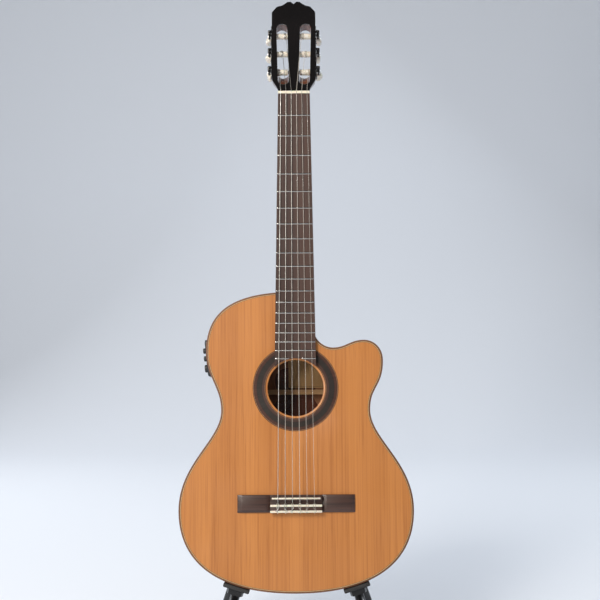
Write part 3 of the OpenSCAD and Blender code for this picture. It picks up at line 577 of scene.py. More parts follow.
blackLacquer = plainFinish("black lacquered veneer", (0.006, 0.005, 0.005, 1), (0.012, 0.009, 0.009, 1),
                           400.0,
                           0.02, (0.10, 0.20), Coat_Weight=0.8, Coat_Roughness=0.05)
blackPlastic = plainFinish("black moulded plastic", (0.012, 0.012, 0.013, 1), (0.030, 0.030, 0.032, 1),
                           1400.0,
                           0.18, (0.35, 0.5))
standPaint = plainFinish("black powder coat", (0.010, 0.010, 0.011, 1), (0.024, 0.024, 0.026, 1), 1100.0,
                         0.25, (0.28, 0.42), Coat_Weight=0.2, Coat_Roughness=0.3)
rubber = plainFinish("black rubber", (0.017, 0.017, 0.018, 1), (0.050, 0.049, 0.047, 1), 700.0, 0.35,
                     (0.62, 0.8))
darkNickel = plainFinish("black nickel", (0.115, 0.110, 0.108, 1), (0.20, 0.19, 0.18, 1), 500.0, 0.03,
                         (0.16, 0.34), Metallic=1.0)
steel = plainFinish("polished steel", (0.62, 0.61, 0.59, 1), (0.50, 0.49, 0.47, 1), 500.0, 0.03,
                    (0.14, 0.30), Metallic=1.0)
fretSilver = plainFinish("fret silver", (0.72, 0.70, 0.66, 1), (0.56, 0.54, 0.50, 1), 600.0, 0.03,
                         (0.16, 0.34), Metallic=1.0)
bone = plainFinish("bone", (0.80, 0.74, 0.60, 1), (0.68, 0.58, 0.42, 1), 500.0, 0.08, (0.26, 0.42),
                   Subsurface_Weight=0.12, Subsurface_Scale=0.003)
paleLine = plainFinish("maple line", (0.62, 0.40, 0.19, 1), (0.46, 0.27, 0.12, 1), 300.0, 0.03, (0.3, 0.42),
                       Coat_Weight=0.35, Coat_Roughness=0.22)
darkLine = plainFinish("ebony line", (0.030, 0.014, 0.009, 1), (0.05, 0.022, 0.013, 1), 300.0, 0.03,
                       (0.3, 0.42),
                       Coat_Weight=0.35, Coat_Roughness=0.22)
labelPaper = plainFinish("label paper", (0.62, 0.38, 0.17, 1), (0.50, 0.28, 0.11, 1), 500.0, 0.1,
                         (0.7, 0.85))
labelInk = plainFinish("label border", (0.20, 0.12, 0.07, 1), (0.26, 0.16, 0.09, 1), 500.0, 0.1, (0.7, 0.85))
nylon = plainFinish("clear nylon", (0.80, 0.74, 0.66, 1), (0.72, 0.66, 0.58, 1), 300.0, 0.02, (0.10, 0.22),
                    Alpha=0.5,
                    Transmission_Weight=0.35, IOR=1.53)


def pearlFinish():
    # mother-of-pearl plastic: soft swirls of warm and cool cream from noise bent by another noise
    made, tree, shader = finish("pearl plastic", Coat_Weight=0.6, Coat_Roughness=0.06,
                                Subsurface_Weight=0.08, Subsurface_Scale=0.003)
    vector = coordinate(tree)
    bend = node(tree, "TexNoise", None, Scale=90.0, Detail=2.0)
    wire(tree, (vector, bend.inputs["Vector"]))
    swirl = node(tree, "TexNoise", None, Scale=210.0, Detail=3.0, Distortion=2.4)
    shifted = node(tree, "VectorMath", {"operation": "MULTIPLY_ADD"})
    shifted.inputs[1].default_value = (0.02, 0.02, 0.02)
    wire(tree, (bend.outputs["Color"], shifted.inputs[0]), (vector, shifted.inputs[2]),
         (shifted.outputs[0], swirl.inputs["Vector"]))
    tone = rampNode(tree, swirl.outputs["Fac"],
                    [(0.30, (0.74, 0.64, 0.47, 1)), (0.48, (0.66, 0.60, 0.50, 1)),
                                                 (0.58, (0.90, 0.86, 0.76, 1)), (0.70,
                                                                                 (0.62, 0.60, 0.56, 1))])
    rough = rampNode(tree, swirl.outputs["Fac"], [(0.3, 0.18), (0.7, 0.30)])
    wire(tree, (tone, shader.inputs["Base Color"]), (rough, shader.inputs["Roughness"]))
    return made


def rosetteFinish():
    # bands by distance from the hole's edge, with short grain marks across the wide ones
    made, tree, shader = finish("rosette inlay", Coat_Weight=0.35, Coat_Roughness=0.22)
    start = node(tree, "TexCoord")
    apart = node(tree, "SeparateXYZ")
    wire(tree, (start.outputs["UV"], apart.inputs[0]))
    stops = [(0.0, (0.030, 0.014, 0.010, 1)), (0.045, (0.36, 0.17, 0.075, 1)),
             (0.075, (0.035, 0.017, 0.012, 1)),
             (0.10, (0.072, 0.037, 0.028, 1)), (0.27, (0.030, 0.014, 0.010, 1)), (0.295,
                                                                                  (0.030, 0.023, 0.019, 1)),
             (0.68, (0.030, 0.014, 0.010, 1)), (0.705, (0.075, 0.031, 0.020, 1)), (0.90,
                                                                                   (0.030, 0.014, 0.010, 1)),
             (0.925, (0.40, 0.19, 0.085, 1)), (0.955, (0.030, 0.014, 0.010, 1))]
    bands = rampNode(tree, apart.outputs["Y"], stops, "CONSTANT")
    drawn = node(tree, "Mapping")
    drawn.inputs["Scale"].default_value = (1.0, 0.05, 1.0)
    wire(tree, (start.outputs["UV"], drawn.inputs["Vector"]))
    flecks = node(tree, "TexNoise", None, Scale=9.0, Detail=4.0, Roughness=0.7)
    wire(tree, (drawn.outputs[0], flecks.inputs["Vector"]))
    marks = rampNode(tree, flecks.outputs["Fac"], [(0.3, 0.62), (0.7, 1.25)])
    tone = mixColour(tree, 1.0, bands, marks, "MULTIPLY")
    handling = useGroup(tree, handlingGroup, Clean=0.3, Worn=0.42, Size=14.0)
    wire(tree, (tone, shader.inputs["Base Color"]), (start.outputs["Object"], handling.inputs["Vector"]),
         (handling.outputs["Roughness"], shader.inputs["Roughness"]))
    bump(tree, shader, flecks.outputs["Fac"], 0.05, 0.0003)
    return made


def woundFinish():
    # silvered wire wound on a core: a wave along the string, with painted shade darkening the colour in the
    # grooves between the wires
    made, tree, shader = finish("silver winding", Metallic=1.0)
    vector = coordinate(tree, "UV")
    wave = node(tree, "TexWave", {"bands_direction": "Y"}, Scale=560.0, Distortion=0.0)
    wire(tree, (vector, wave.inputs["Vector"]))
    # the dark end of the ramp is painted shade between the turns; the light end is the wire's own silver
    tone = rampNode(tree, wave.outputs["Fac"], [(0.0, (0.56, 0.54, 0.50, 1)), (0.5, (0.84, 0.82, 0.77, 1))])
    marks = useGroup(tree, handlingGroup, Clean=0.38, Worn=0.5, Size=60.0)
    wire(tree, (tone, shader.inputs["Base Color"]), (coordinate(tree), marks.inputs["Vector"]),
         (marks.outputs["Roughness"], shader.inputs["Roughness"]))
    bump(tree, shader, wave.outputs["Fac"], 0.06, 0.0002)
    return made


pearl = pearlFinish()
rosetteInlay = rosetteFinish()
silverWinding = woundFinish()
print("all finishes ready")


def cubic(a, ha, hb, b, n):
    # the cubic curve from a to b whose ends leave along the handles ha and hb
    t = np.linspace(0, 1, n, endpoint=False)[:, None]
    a, ha, hb, b = (np.asarray(v, float) for v in (a, ha, hb, b))
    return (1 - t)**3 * a + 3 * t * (1 - t)**2 * (a + ha) + 3 * t * t * (1 - t) * (b + hb) + t**3 * b


def flipped(p):
    # x changes sign and the order is reversed
    return (p * [-1, 1])[::-1]


def bodyOutline(g):
    # cubics from the tail to the waist, then round the cutaway on one side and the plain shoulder on the other
    half, lowSpan, upSpan = g["lowerW"] / 2, g["waistZ"] - g["lowerZ"], g["upperZ"] - g["waistZ"]
    lower, waist = np.array([half, g["lowerZ"]]), np.array([g["waistW"] / 2, g["waistZ"]])
    upper = np.array([g["upperW"] / 2, g["upperZ"]])
    hornSide = upper - [2.9, 16]
    floor = g["length"] - g["cutDepth"]
    hornTip, cut = np.array([g["hornX"], floor + g["hornRise"]]), np.array([g["cutX"], floor])
    neckSide = np.array([g["heelW"] / 2, floor + 32])
    tipW, dipW = hornSide[0] - g["hornX"], g["hornX"] - g["cutX"]
    lowerHalf = np.concatenate([
        cubic([0, 0], [0.696 * half, 0], [0, -0.595 * g["lowerZ"]], lower, 56),
        cubic(lower, [0, 0.476 * lowSpan], [0, -0.298 * lowSpan], waist, 44)])
    treble = np.concatenate([
        cubic(waist, [0, 0.39 * upSpan], [0, -0.45 * upSpan], hornSide, 26),
        cubic(hornSide, [0, 0.5 * (hornTip[1] - hornSide[1])], [0.65 * tipW, 0], hornTip, 22),
        cubic(hornTip, [-0.44 * dipW, 0], [0.42 * dipW, 0], cut, 18),
        cubic(cut, [-0.42 * (g["cutX"] - neckSide[0]), 0], [0, -21.7], neckSide, 18),
        np.linspace(neckSide, [g["heelW"] / 2, g["length"]], 8),
        np.linspace([g["heelW"] / 2, g["length"]], [0, g["length"]], 6)[1:]])
    bass = np.concatenate([
        cubic(waist, [0, 0.39 * upSpan], [0, -0.45 * upSpan], upper, 28),
        cubic(upper, [0, 0.7 * (g["length"] - g["upperZ"])], [0.68 * upper[0], 0], [0, g["length"]], 44)])
    ring = np.concatenate([lowerHalf, treble, flipped(bass), flipped(lowerHalf)])
    apart = np.linalg.norm(ring - np.roll(ring, -1, 0), axis=1) > 0.02
    return ring[apart]


rim = bodyOutline(guitar)
mitre = insetOutline(rim, 1.0) - rim
rimCount = len(rim)
rimLength = np.concatenate([[0], np.cumsum(np.linalg.norm(np.roll(rim, -1, 0) - rim, axis=1))]) / 1000


def rimRing(inset, depth):
    # the outline moved inward by inset, at a depth that may change from point to point
    p = rim + inset * mitre
    return np.stack([p[:, 0], np.broadcast_to(depth, rimCount), p[:, 1]], -1)


def backDepth(z):
    # the tail's depth less the height times the taper
    return guitar["lowerDepth"] - z * taper


def rimUv(rings):
    # arc length round the rim against distance across the section, in metres
    across = np.concatenate([[0], np.cumsum(np.linalg.norm(np.diff(rings, axis=0), axis=2).mean(1))])
    across = np.append(across, across[-1] + np.linalg.norm(rings[0] - rings[-1], axis=1).mean()) / 1000
    u, v = np.meshgrid(across, rimLength, indexing="ij")
    return np.stack([v, u], -1)


soundboard = dict(edgeRound=0.3, darkLine=0.5, paleLine=0.9, innerLine=0.4)


def makeSoundboard(s):
    # rings blend from the hole's circle to the outline; the last few at the edge carry the purfling lines
    outer = rim + guitar["sideT"] * mitre
    aim = np.arctan2(outer[:, 1] - holeZ, outer[:, 0])
    hole = np.stack([np.cos(aim), np.sin(aim)], -1)
    lines = np.cumsum([0, s["darkLine"], s["paleLine"], s["innerLine"]]) + guitar["sideT"]
    middle = [0, holeZ]
    t, r = guitar["plateT"], guitar["holeR"]

    def level(points, y):
        return np.insert(points, 1, y, 1)

    top = [level(rim + d * mitre, 0) for d in lines]
    inner = hole * (r + s["edgeRound"]) + middle
    rings = [level(outer, t)] + top + [level(top[-1][:, [0, 2]] * (1 - f) + inner * f, 0) for f in (0.35,
                                                                                                    0.7, 1.0)]
    rings += [level(hole * (r + 0.1) + middle, 0.1), level(hole * r + middle, s["edgeRound"])]
    rings += [level(hole * r + middle, t)]
    rings = np.array(rings)
    made = surface(rings, closeRows=True)
    made = placedBy(inGuitar, made)
    index = np.repeat(np.array([0, 1, 2, 1] + [0] * (len(rings) - 4)), rimCount)
    return addPiece("soundboard", **made, mats=(cedar, darkLine, paleLine), quadMat=index,
                    stands=("top_plate",), slot="cedar")


makeSoundboard(soundboard)

rosetteLook = dict(inner=47.5, width=20.5, proud=0.06, steps=160)


def makeRosette(s):
    # a flat ring; its texture reads the angle along u and the distance across the band along v
    c, sn = circle(s["steps"])
    radii = [s["inner"], s["inner"], s["inner"] + s["width"], s["inner"] + s["width"]]
    depth = [0.5, -s["proud"], -s["proud"], 0.5]
    rings = np.array([np.stack([r * c, np.full(s["steps"], y), r * sn + holeZ], -1) for r,
                      y in zip(radii, depth)])
    across = np.array([0.0, 0.0, 1.0, 1.0, 0.0])
    u, v = np.meshgrid(across, np.arange(s["steps"] + 1) / 4.0, indexing="ij")
    made = surface(rings, closeRows=True, uv=np.stack([v, u], -1))
    return addPiece("rosetteRing", **placedBy(inGuitar, made), mats=(rosetteInlay,), stands=("rosette",),
                    slot="rosette_wood")


makeRosette(rosetteLook)
print("soundboard and rosette ready")


edging = dict(round=1.1)


def makeBinding(name, front, s):
    # a square section with its outer corner rounded, carried round the outline
    a = np.linspace(0, np.pi / 2, 6)
    inset = np.concatenate([s["round"] * (1 - np.cos(a)), [guitar["sideT"], guitar["sideT"], 0.0]])
    rise = np.concatenate([s["round"] * (1 - np.sin(a)), [0.0, guitar["bindD"], guitar["bindD"]]])
    rings = []
    for d, y in zip(inset, rise):
        ring = rimRing(d, 0.0)
        depth = y if front else backDepth(ring[:, 2]) - y
        rings.append(rimRing(d, depth))
    rings = np.array(rings)
    made = surface(rings, closeRows=True, uv=rimUv(rings))
    return placedBy(inGuitar, made)


addPiece("edgeBindings", **joined([makeBinding("front", True, edging), makeBinding("back", False, edging)]),
         mats=(bindingWood,), stands=("bindings",), slot="binding")


def makeSides():
    # the bent ribs: an outer and an inner wall from one binding to the other, following the tapered back
    low = guitar["bindD"]
    rings = []
    for d, f in ((0, 0), (0, 0.06), (0, 0.5), (0, 0.94), (0, 1), (guitar["sideT"], 1), (guitar["sideT"], 0)):
        high = backDepth(rim[:, 1] + d * mitre[:, 1]) - guitar["bindD"]
        rings.append(rimRing(d, low + f * (high - low)))
    rings = np.array(rings)
    made = surface(rings, closeRows=True, uv=rimUv(rings))
    index = np.repeat(np.array([0, 0, 0, 0, 0, 1, 0]), rimCount)
    return addPiece("bentSides", **placedBy(inGuitar, made), mats=(bentMahogany, innerWood), quadMat=index,
                    stands=("sides",), slot="mahogany")


makeSides()


def sideLines():
    # a pale and a dark line on the ribs beside each binding
    parts = {}
    for kind, start, width in (("pale", 0.15, 0.8), ("dark", 0.95, 0.4)):
        made = []
        for front in (True, False):
            rings = []
            for d, y in ((0.5, start), (-0.03, start), (-0.03, start + width), (0.5, start + width)):
                depth = guitar["bindD"] + y if front else backDepth(rim[:, 1]) - guitar["bindD"] - y
                rings.append(rimRing(d, depth))
            made.append(surface(np.array(rings), closeRows=True))
        parts[kind] = placedBy(inGuitar, joined(made))
    return parts


ribLines = sideLines()
addPiece("ribLinePale", **ribLines["pale"], mats=(paleLine,), slot="binding")
addPiece("ribLineDark", **ribLines["dark"], mats=(darkLine,), slot="binding")


def makeBack():
    # the back: rings shrink from the outline to the middle, outside and then inside
    middle = np.array([0, holeZ])
    outer = rim + guitar["sideT"] * mitre
    rings = []
    for f, rise in ((0.25, 0.0), (0.6, 0.0), (1.0, 0.0), (1.0, guitar["plateT"]), (0.6, guitar["plateT"]),
                    (0.25, guitar["plateT"])):
        p = middle + f * (outer - middle)
        rings.append(np.stack([p[:, 0], backDepth(p[:, 1]) - rise, p[:, 1]], -1))
    made = surface(np.array(rings))
    index = np.repeat(np.array([0, 0, 0, 1, 1]), rimCount)
    return addPiece("backPlate", **placedBy(inGuitar, made), mats=(mahogany, innerWood), quadMat=index,
                    stands=("back_plate",), slot="mahogany")


makeBack()

backStrip = dict(width=5.0, proud=0.05, low=3.5, high=468.0)


def makeBackStrip(s):
    # three thin lines let in along the middle of the back
    parts = []
    for x, w, kind in ((0.0, 2.6, "pale"), (-1.9, 1.0, "dark"), (1.9, 1.0, "dark")):
        z = np.linspace(s["low"], s["high"], 3)
        outline = [(x - w / 2, -0.6), (x + w / 2, -0.6), (x + w / 2, s["proud"]), (x - w / 2, s["proud"])]
        rings = np.array([[(px, backDepth(zz) + py, zz) for px, py in outline] for zz in z])
        parts.append((kind, surface(rings)))
    pale = joined([p for k, p in parts if k == "pale"])
    dark = joined([p for k, p in parts if k == "dark"])
    addPiece("backStripPale", **placedBy(inGuitar, pale), mats=(paleLine,), slot="binding")
    addPiece("backStripDark", **placedBy(inGuitar, dark), mats=(darkLine,), slot="binding")


makeBackStrip(backStrip)

label = dict(left=-12.0, right=60.0, low=321.0, high=371.0, thick=0.25, border=2.2, line=0.5)


def makeLabel(s):
    # a paper oblong on the inside of the back, with a plain printed border
    def slip(x0, x1, z0, z1, lift, thick):
        corners = np.array([(x0, z0), (x1, z0), (x1, z1), (x0, z1)])
        rings = [[(x, backDepth(z) - guitar["plateT"] - lift - d, z) for x, z in corners] for d in (0.0,
                                                                                                    thick)]
        return surface(np.array(rings))

    b, w = s["border"], s["line"]
    paper = slip(s["left"], s["right"], s["low"], s["high"], 0.02, s["thick"])
    x0, x1, z0, z1 = s["left"] + b, s["right"] - b, s["low"] + b, s["high"] - b
    lift = 0.02 + s["thick"]
    bars = [slip(x0, x1, z0, z0 + w, lift, 0.03), slip(x0, x1, z1 - w, z1, lift, 0.03),
            slip(x0, x0 + w, z0 + w, z1 - w, lift, 0.03), slip(x1 - w, x1, z0 + w, z1 - w, lift, 0.03)]
    addPiece("labelPaper", **placedBy(inGuitar, paper), mats=(labelPaper,), slot="inner_wood")
    addPiece("labelBorder", **placedBy(inGuitar, joined(bars)), mats=(labelInk,), slot="inner_wood")


makeLabel(label)

for name, material in (("linings", innerWood), ("neck_block", innerWood), ("tail_block", innerWood),
                       ("braces", crossBrace), ("preamp_box", blackPlastic)):
    shapes[name].data.materials.clear()
    shapes[name].data.materials.append(material)
print("body shell ready")


def slabBetween(front, back, y0, y1, keep):
    # two grids of the same layout become the faces of a solid, with walls along every open edge
    rows, cols = keep.shape[0] + 1, keep.shape[1] + 1
    quads = gridQuads(rows, cols, False, False)[0][keep.ravel()]
    edges = np.concatenate([quads[:, [0, 1]], quads[:, [1, 2]], quads[:, [2, 3]], quads[:, [3, 0]]])
    key = np.sort(edges, 1)
    index, count = np.unique(key, axis=0, return_index=True, return_counts=True)[1:]
    border = edges[index[count == 1]]
    n = rows * cols
    verts = np.concatenate([np.insert(front.reshape(-1, 2), 1, y0, 1),
                            np.insert(back.reshape(-1, 2), 1, y1, 1)])
    walls = np.stack([border[:, 1], border[:, 0], border[:, 0] + n, border[:, 1] + n], -1)
    faces = np.concatenate([quads, quads[:, ::-1] + n, walls])
    used, tidy = np.unique(faces, return_inverse=True)
    return verts[used], tidy.reshape(faces.shape)


def closePoints(verts, faces, limit=1e-4):
    # points that meet at a slot's rounded end are merged, and faces that vanish are dropped
    order = np.round(verts / limit).astype(np.int64)
    first, back = np.unique(order, axis=0, return_index=True, return_inverse=True)[1:]
    faces = back.reshape(-1)[faces]
    verts = verts[first]
    same = faces == np.roll(faces, -1, 1)
    quads = faces[~same.any(1)]
    bent = faces[same.sum(1) == 1]
    drop = same[same.sum(1) == 1]
    tris = bent[~drop].reshape(-1, 3)
    return verts, quads, tris


def easeEdges(piece, width, angle):
    # every edge sharper than the angle is rounded in two steps
    bevel = piece.modifiers.new("eased edges", "BEVEL")
    bevel.width = width / 1000
    bevel.segments = 2
    bevel.limit_method = "ANGLE"
    bevel.angle_limit = angle
    bevel.use_clamp_overlap = True


def boxUv(verts, faces):
    # the texture is laid flat on x and z
    p = verts[faces]
    return np.stack([p[..., 0], p[..., 2]], -1)


neck = dict(nutW=52.0, twelfthW=62.0, depth=16.0, grow=2.0, heelRun=56.0, heelTip=87.0, tipHalf=12.0,
            boardT=7.5,
            boardLength=446.0, boardEdge=0.5, frets=19, fretH=0.9, fretW=2.2)


def boardHalf(s):
    # half the board's width: it grows in a straight line from the nut
    return (neck["nutW"] + (neck["twelfthW"] - neck["nutW"]) * s / (guitar["scale"] / 2)) / 2


def makeNeck(n):
    # a D section lofted up the neck; near the body its depth swells along a curve and it narrows into the
    # heel
    s = np.concatenate([np.linspace(-guitar["nutT"], 240, 26),
                        np.linspace(248, nutZ - guitar["length"], 40)])
    z = nutZ - s
    run = np.clip((guitar["length"] + n["heelRun"] - z) / n["heelRun"], 0, 1)
    deep = n["depth"] + n["grow"] * np.clip(s / 320, 0, 1)
    deep = deep + (n["heelTip"] - deep) * (1 - np.sqrt(np.clip(1 - run**2.6, 0, 1)))**0.85
    power = 2.25 + 4.5 * run
    a = np.linspace(0, np.pi, 41)[None]
    t = np.sin(a) ** 0.9
    y = deep[:, None] * t
    full = boardHalf(s)[:, None]
    narrow = full + (n["tipHalf"] - full) * smooth((y - n["depth"]) / (n["heelTip"] - n["depth"])) ** 0.8
    x = np.sign(np.cos(a)) * narrow * np.clip(1 - t ** power[:, None], 0, 1) ** (1 / power[:, None])
    rings = np.stack([x, y, np.broadcast_to(z[:, None], x.shape)], -1)
    slant = np.clip((z - nutZ + 6) / 10, 0, 1)[:, None] * np.tan(pitch)
    rings[..., 2] -= slant * rings[..., 1]
    return addPiece("neckAndHeel", **placedBy(inGuitar, surface(rings)), mats=(neckWood,), stands=("neck",),
                    slot="neck_wood", sharp=50)


makeNeck(neck)


def makeBoard(n):
    # rows climb down the board from the nut to an end hollowed by a circle round the soundhole
    across, f = np.linspace(-1, 1, 33), np.linspace(0, 1, 30)[:, None]
    x = across * boardHalf(f * n["boardLength"])
    end = np.maximum(nutZ - n["boardLength"],
                     holeZ + np.sqrt(np.maximum((guitar["holeR"] + 2.5)**2 - x**2, 0)))
    flat = np.stack([x, nutZ + f * (end - nutZ)], -1)
    verts, faces = slabBetween(flat, flat, -n["boardT"], 0.0, np.ones((29, 32), bool))
    verts = inGuitar(verts)
    board = addPiece("fingerboard", verts, faces, boxUv(verts, faces), None, None, (rosewood,),
                     stands=("fretboard",),
                     slot="rosewood")
    easeEdges(board, n["boardEdge"], 0.87)


makeBoard(neck)


def makeFrets(n):
    # a half-round crown carried across the board, its ends filed down to a slope
    parts = []
    endR = guitar["holeR"] + 3.0
    for k in range(1, n["frets"] + 1):
        s = guitar["scale"] * (1 - 2 ** (-k / 12))
        half, z = boardHalf(s) - 0.4, nutZ - s
        gap = 0.0
        if z < holeZ + endR:
            gap = math.sqrt(max(endR**2 - (z - holeZ)**2, 0))
        spans = [(-half, half)] if gap == 0 else [(-half, -gap), (gap, half)]
        for x0, x1 in spans:
            x = np.array([x0, x0 + 0.25, x0 + 0.9, x0 + 1.6, x1 - 1.6, x1 - 0.9, x1 - 0.25, x1])
            tall = np.array([0.25, 0.5, 0.88, 1.0, 1.0, 0.88, 0.5, 0.25])
            a = np.linspace(0, np.pi, 9)
            y = np.concatenate([-n["boardT"] - np.sin(a) * n["fretH"], [-n["boardT"] + 0.3] * 2])
            zz = np.concatenate([np.cos(a) * n["fretW"] / 2, [-n["fretW"] / 2, n["fretW"] / 2]])
            rise = y + n["boardT"]
            rings = [np.stack([np.full(len(zz), px), -n["boardT"] + np.where(rise < 0, rise * h, rise),
                               z + zz * (0.7 + 0.3 * h)],
                              -1) for px, h in zip(x, tall)]
            parts.append(surface(np.array(rings)))
    return joined(parts)


addPiece("fretWires", **placedBy(inGuitar, makeFrets(neck)), mats=(fretSilver,), stands=("frets",),
         slot="fret_wire")
print("neck, fingerboard and frets ready")


slots = dict(low=13.0, top=132.0, rampTop=37.0, tilt=1.5, backInset=7.5)


def headHalf(z):
    # half the headstock's width: it opens from the nut's width to its shoulder on a soft S
    return neck["nutW"] / 2 + (head["width"] / 2 - neck["nutW"] / 2) * smooth((z - 1.0) / 27.0)


def crestLine(x):
    # the scalloped top edge: hollows and bumps between the corner, the outer bump, the peak and the notch
    x = np.abs(x)
    knots = np.array([0.0, 2.2, 7.6, 13.0, 17.8, 22.0, 27.6, 31.5, 34.5, head["width"] / 2])
    rise = np.array([172.6, 175.2, 177.4, 174.6, 170.1, 168.6, 167.2, 162.6, 158.8, 155.4])
    slope = np.gradient(rise, knots)
    slope[[2, 6]] *= 0.4
    k = np.clip(np.searchsorted(knots, x, side="right") - 1, 0, len(knots) - 2)
    h = knots[k + 1] - knots[k]
    f = np.clip((x - knots[k]) / h, 0, 1)
    return cubicSpan(f, rise[k], rise[k + 1], h * slope[k], h * slope[k + 1])


def headGrid(s, low, inset):
    # rows climb the headstock; columns follow the outline and the slots' edges, which meet at each rounded
    # end;
    # the inset draws the sides in towards the neck and fades out up the head
    r = head["slotW"] / 2
    bottom, top = low + r, s["top"] - r
    a = np.linspace(0, np.pi / 2, 9)
    zRows = np.concatenate([np.linspace(0, low, 8)[:-1], bottom - r * np.cos(a),
                            np.linspace(bottom, top, 12)[1:-1],
                            top + r * np.sin(a), np.linspace(s["top"], 140, 3)[1:]])
    opened = np.where(zRows < bottom, np.sqrt(np.maximum(r**2 - (zRows - bottom)**2, 0)),
                      np.where(zRows > top, np.sqrt(np.maximum(r**2 - (zRows - top)**2, 0)), r))
    opened[(zRows <= low + 1e-6) | (zRows >= s["top"] - 1e-6)] = 0
    centre = head["barW"] / 2 + r + s["tilt"] * (zRows - 75) / 60
    half = headHalf(zRows) - inset * (1 - smooth(zRows / 40))
    edges = np.stack([-half, -centre - opened, -centre + opened, centre - opened, centre + opened, half], -1)
    pieces = [6, 4, 8, 4, 6]
    cols = [edges[:, k:k + 1] + (edges[:, k + 1:k + 2] - edges[:, k:k + 1]) * np.linspace(0, 1, n,
                                                                                          endpoint=False)
            for k, n in enumerate(pieces)] + [edges[:, -1:]]
    x = np.concatenate(cols, 1)
    z = np.broadcast_to(zRows[:, None], x.shape)
    f = np.linspace(0, 1, 12)[1:, None]
    last = x[-1:] * (1 + 0 * f)
    crest = crestLine(x[-1:])
    x = np.concatenate([x, last])
    z = np.concatenate([z, 140 + f * (crest - 140)])
    inSlot = np.zeros((len(zRows) - 1, x.shape[1] - 1), bool)
    openRow = (opened[:-1] > 0) | (opened[1:] > 0)
    inSlot[np.ix_(openRow, range(6, 10))] = True
    inSlot[np.ix_(openRow, range(18, 22))] = True
    keep = np.ones((len(x) - 1, x.shape[1] - 1), bool)
    keep[:len(zRows) - 1] = ~inSlot
    return np.stack([x, z], -1), keep


def makeHeadPiece(name, s, y0, y1, insetBack, material, stands, slot, edge):
    # the slots' lower ends slope from the face to the back, so each face opens a little further up
    rise = (s["rampTop"] - s["low"]) / (head["thick"] + head["veneer"])
    front, keep = headGrid(s, s["low"] + rise * (y0 + head["veneer"]), 0.0)
    back = headGrid(s, s["low"] + rise * (y1 + head["veneer"]), insetBack)[0]
    verts, faces = slabBetween(front, back, y0, y1, keep)
    verts, quads, tris = closePoints(verts, faces)
    verts = inHead(verts)
    tris = tris if len(tris) else None
    piece = addPiece(name, verts, quads, boxUv(verts, quads), tris,
                     None if tris is None else boxUv(verts, tris),
                     (material,), stands=stands, slot=slot)
    easeEdges(piece, edge, math.radians(50))


makeHeadPiece("headFace", slots, -head["veneer"], 0.0, 0.0, blackLacquer, ("head_veneer",), "black_veneer",
              0.35)
makeHeadPiece("headWood", slots, 0.0, head["thick"], slots["backInset"], mahogany, ("headstock",),
              "mahogany", 0.8)
print("headstock ready")


strings = dict(radii=(0.55, 0.44, 0.38, 0.51, 0.41, 0.36), names=("e6", "a5", "d4", "g3", "b2", "e1"),
               nutSpread=43.0, saddleSpread=57.0, nutY=-9.1, saddleH=10.6, holeY=-5.0, tieGap=8.0,
               rows=(0, 1, 2, 2, 1, 0), sides=(-1, -1, -1, 1, 1, 1), windX=(23.6, 18.4, 13.2), turns=3.25)
bridge = dict(width=184.0, depth=27.3, tieW=81.0, tieH=9.0, wingH=4.5, blockH=8.0, saddleT=2.8, saddleW=76.0,
              stripW=3.4, stripRise=0.4, ramp=7.0)
tieFront = saddleZ - bridge["saddleT"] / 2 - strings["tieGap"]
bridgeTop = saddleZ + bridge["saddleT"] / 2 + 4
bridgeLow = bridgeTop - bridge["depth"]


def stringX(i, spread):
    # six even steps across the spread, centred on the middle
    return spread * (i / 5 - 0.5)


def rowZ(i):
    # a roller's height: the first row plus its row number times the pitch
    return head["rollerZ"] + head["rollerPitch"] * strings["rows"][i]


def stringPath(i):
    # saddle, nut and roller are joined by straight runs; a short bend eases each corner
    r = strings["radii"][i]
    saddle = np.array([stringX(i, strings["saddleSpread"]), -(strings["saddleH"] + r), saddleZ])
    nut = np.array([stringX(i, strings["nutSpread"]), strings["nutY"], nutZ])
    nut = nut + (nut - saddle) * guitar["nutT"] / (guitar["scale"] + 1.5)
    wind = headToGuitar([strings["sides"][i] * strings["windX"][strings["rows"][i]],
                         head["rollerY"] - head["rollerR"] - r - 0.05, rowZ(i)])
    hole = np.array([saddle[0], strings["holeY"], tieFront])
    corners = [hole + [0, 0.2, -1.0], hole, saddle, nut, wind, wind + (wind - nut) * 0.02]
    return corners, hole, saddle, nut, wind


def easedPath(corners, ease):
    # each inner corner becomes a short parabola; the two ends stay
    c = np.asarray(corners, float)
    bends = [easedCorner(a, b, d, ease, 7) for a, b, d in zip(c[:-2], c[1:-1], c[2:])]
    return np.concatenate([c[:1]] + bends + [c[-1:]])


def makeString(i):
    # the straight run from nut to bridge, and the loop tied round the bridge block
    corners, hole, saddle, nut, wind = stringPath(i)
    r = strings["radii"][i]
    run = placedBy(inGuitar, tube(easedPath(corners[:-1], 1.2), r, 12))
    x, top = hole[0], -(bridge["tieH"] + bridge["stripRise"] + r + 0.05)
    s = 1 if i % 2 else -1
    loop = [[x, strings["holeY"], bridgeLow + 1.5], [x, strings["holeY"], bridgeLow - 0.4],
            [x + 0.2 * s, -6.6, bridgeLow - 1.3], [x + 0.5 * s, -8.8, bridgeLow - 0.9],
            [x + 0.8 * s, top, bridgeLow + 1.2], [x + 1.1 * s, top - 0.1, bridgeLow + 6.0],
            [x + 1.5 * s, top, tieFront - 1.0], [x + 1.4 * s, -8.9, tieFront + 1.0],
            [x + 0.2 * s, -7.0, tieFront + 1.9], [x - 1.2 * s, -8.4, tieFront + 1.3],
            [x - 1.6 * s, top, tieFront - 0.8], [x - 1.2 * s, top - 0.1, tieFront - 5.0],
            [x + 0.6 * s, top - 2 * r, bridgeLow + 5.2], [x + 2.6 * s, top - 0.1, bridgeLow + 3.2],
            [x + 3.4 * s, top - 0.05, bridgeLow + 1.4]]
    knot = placedBy(inGuitar, tube(smoothPath(loop, 90), r * 0.96, 10))
    return joined([run, knot])


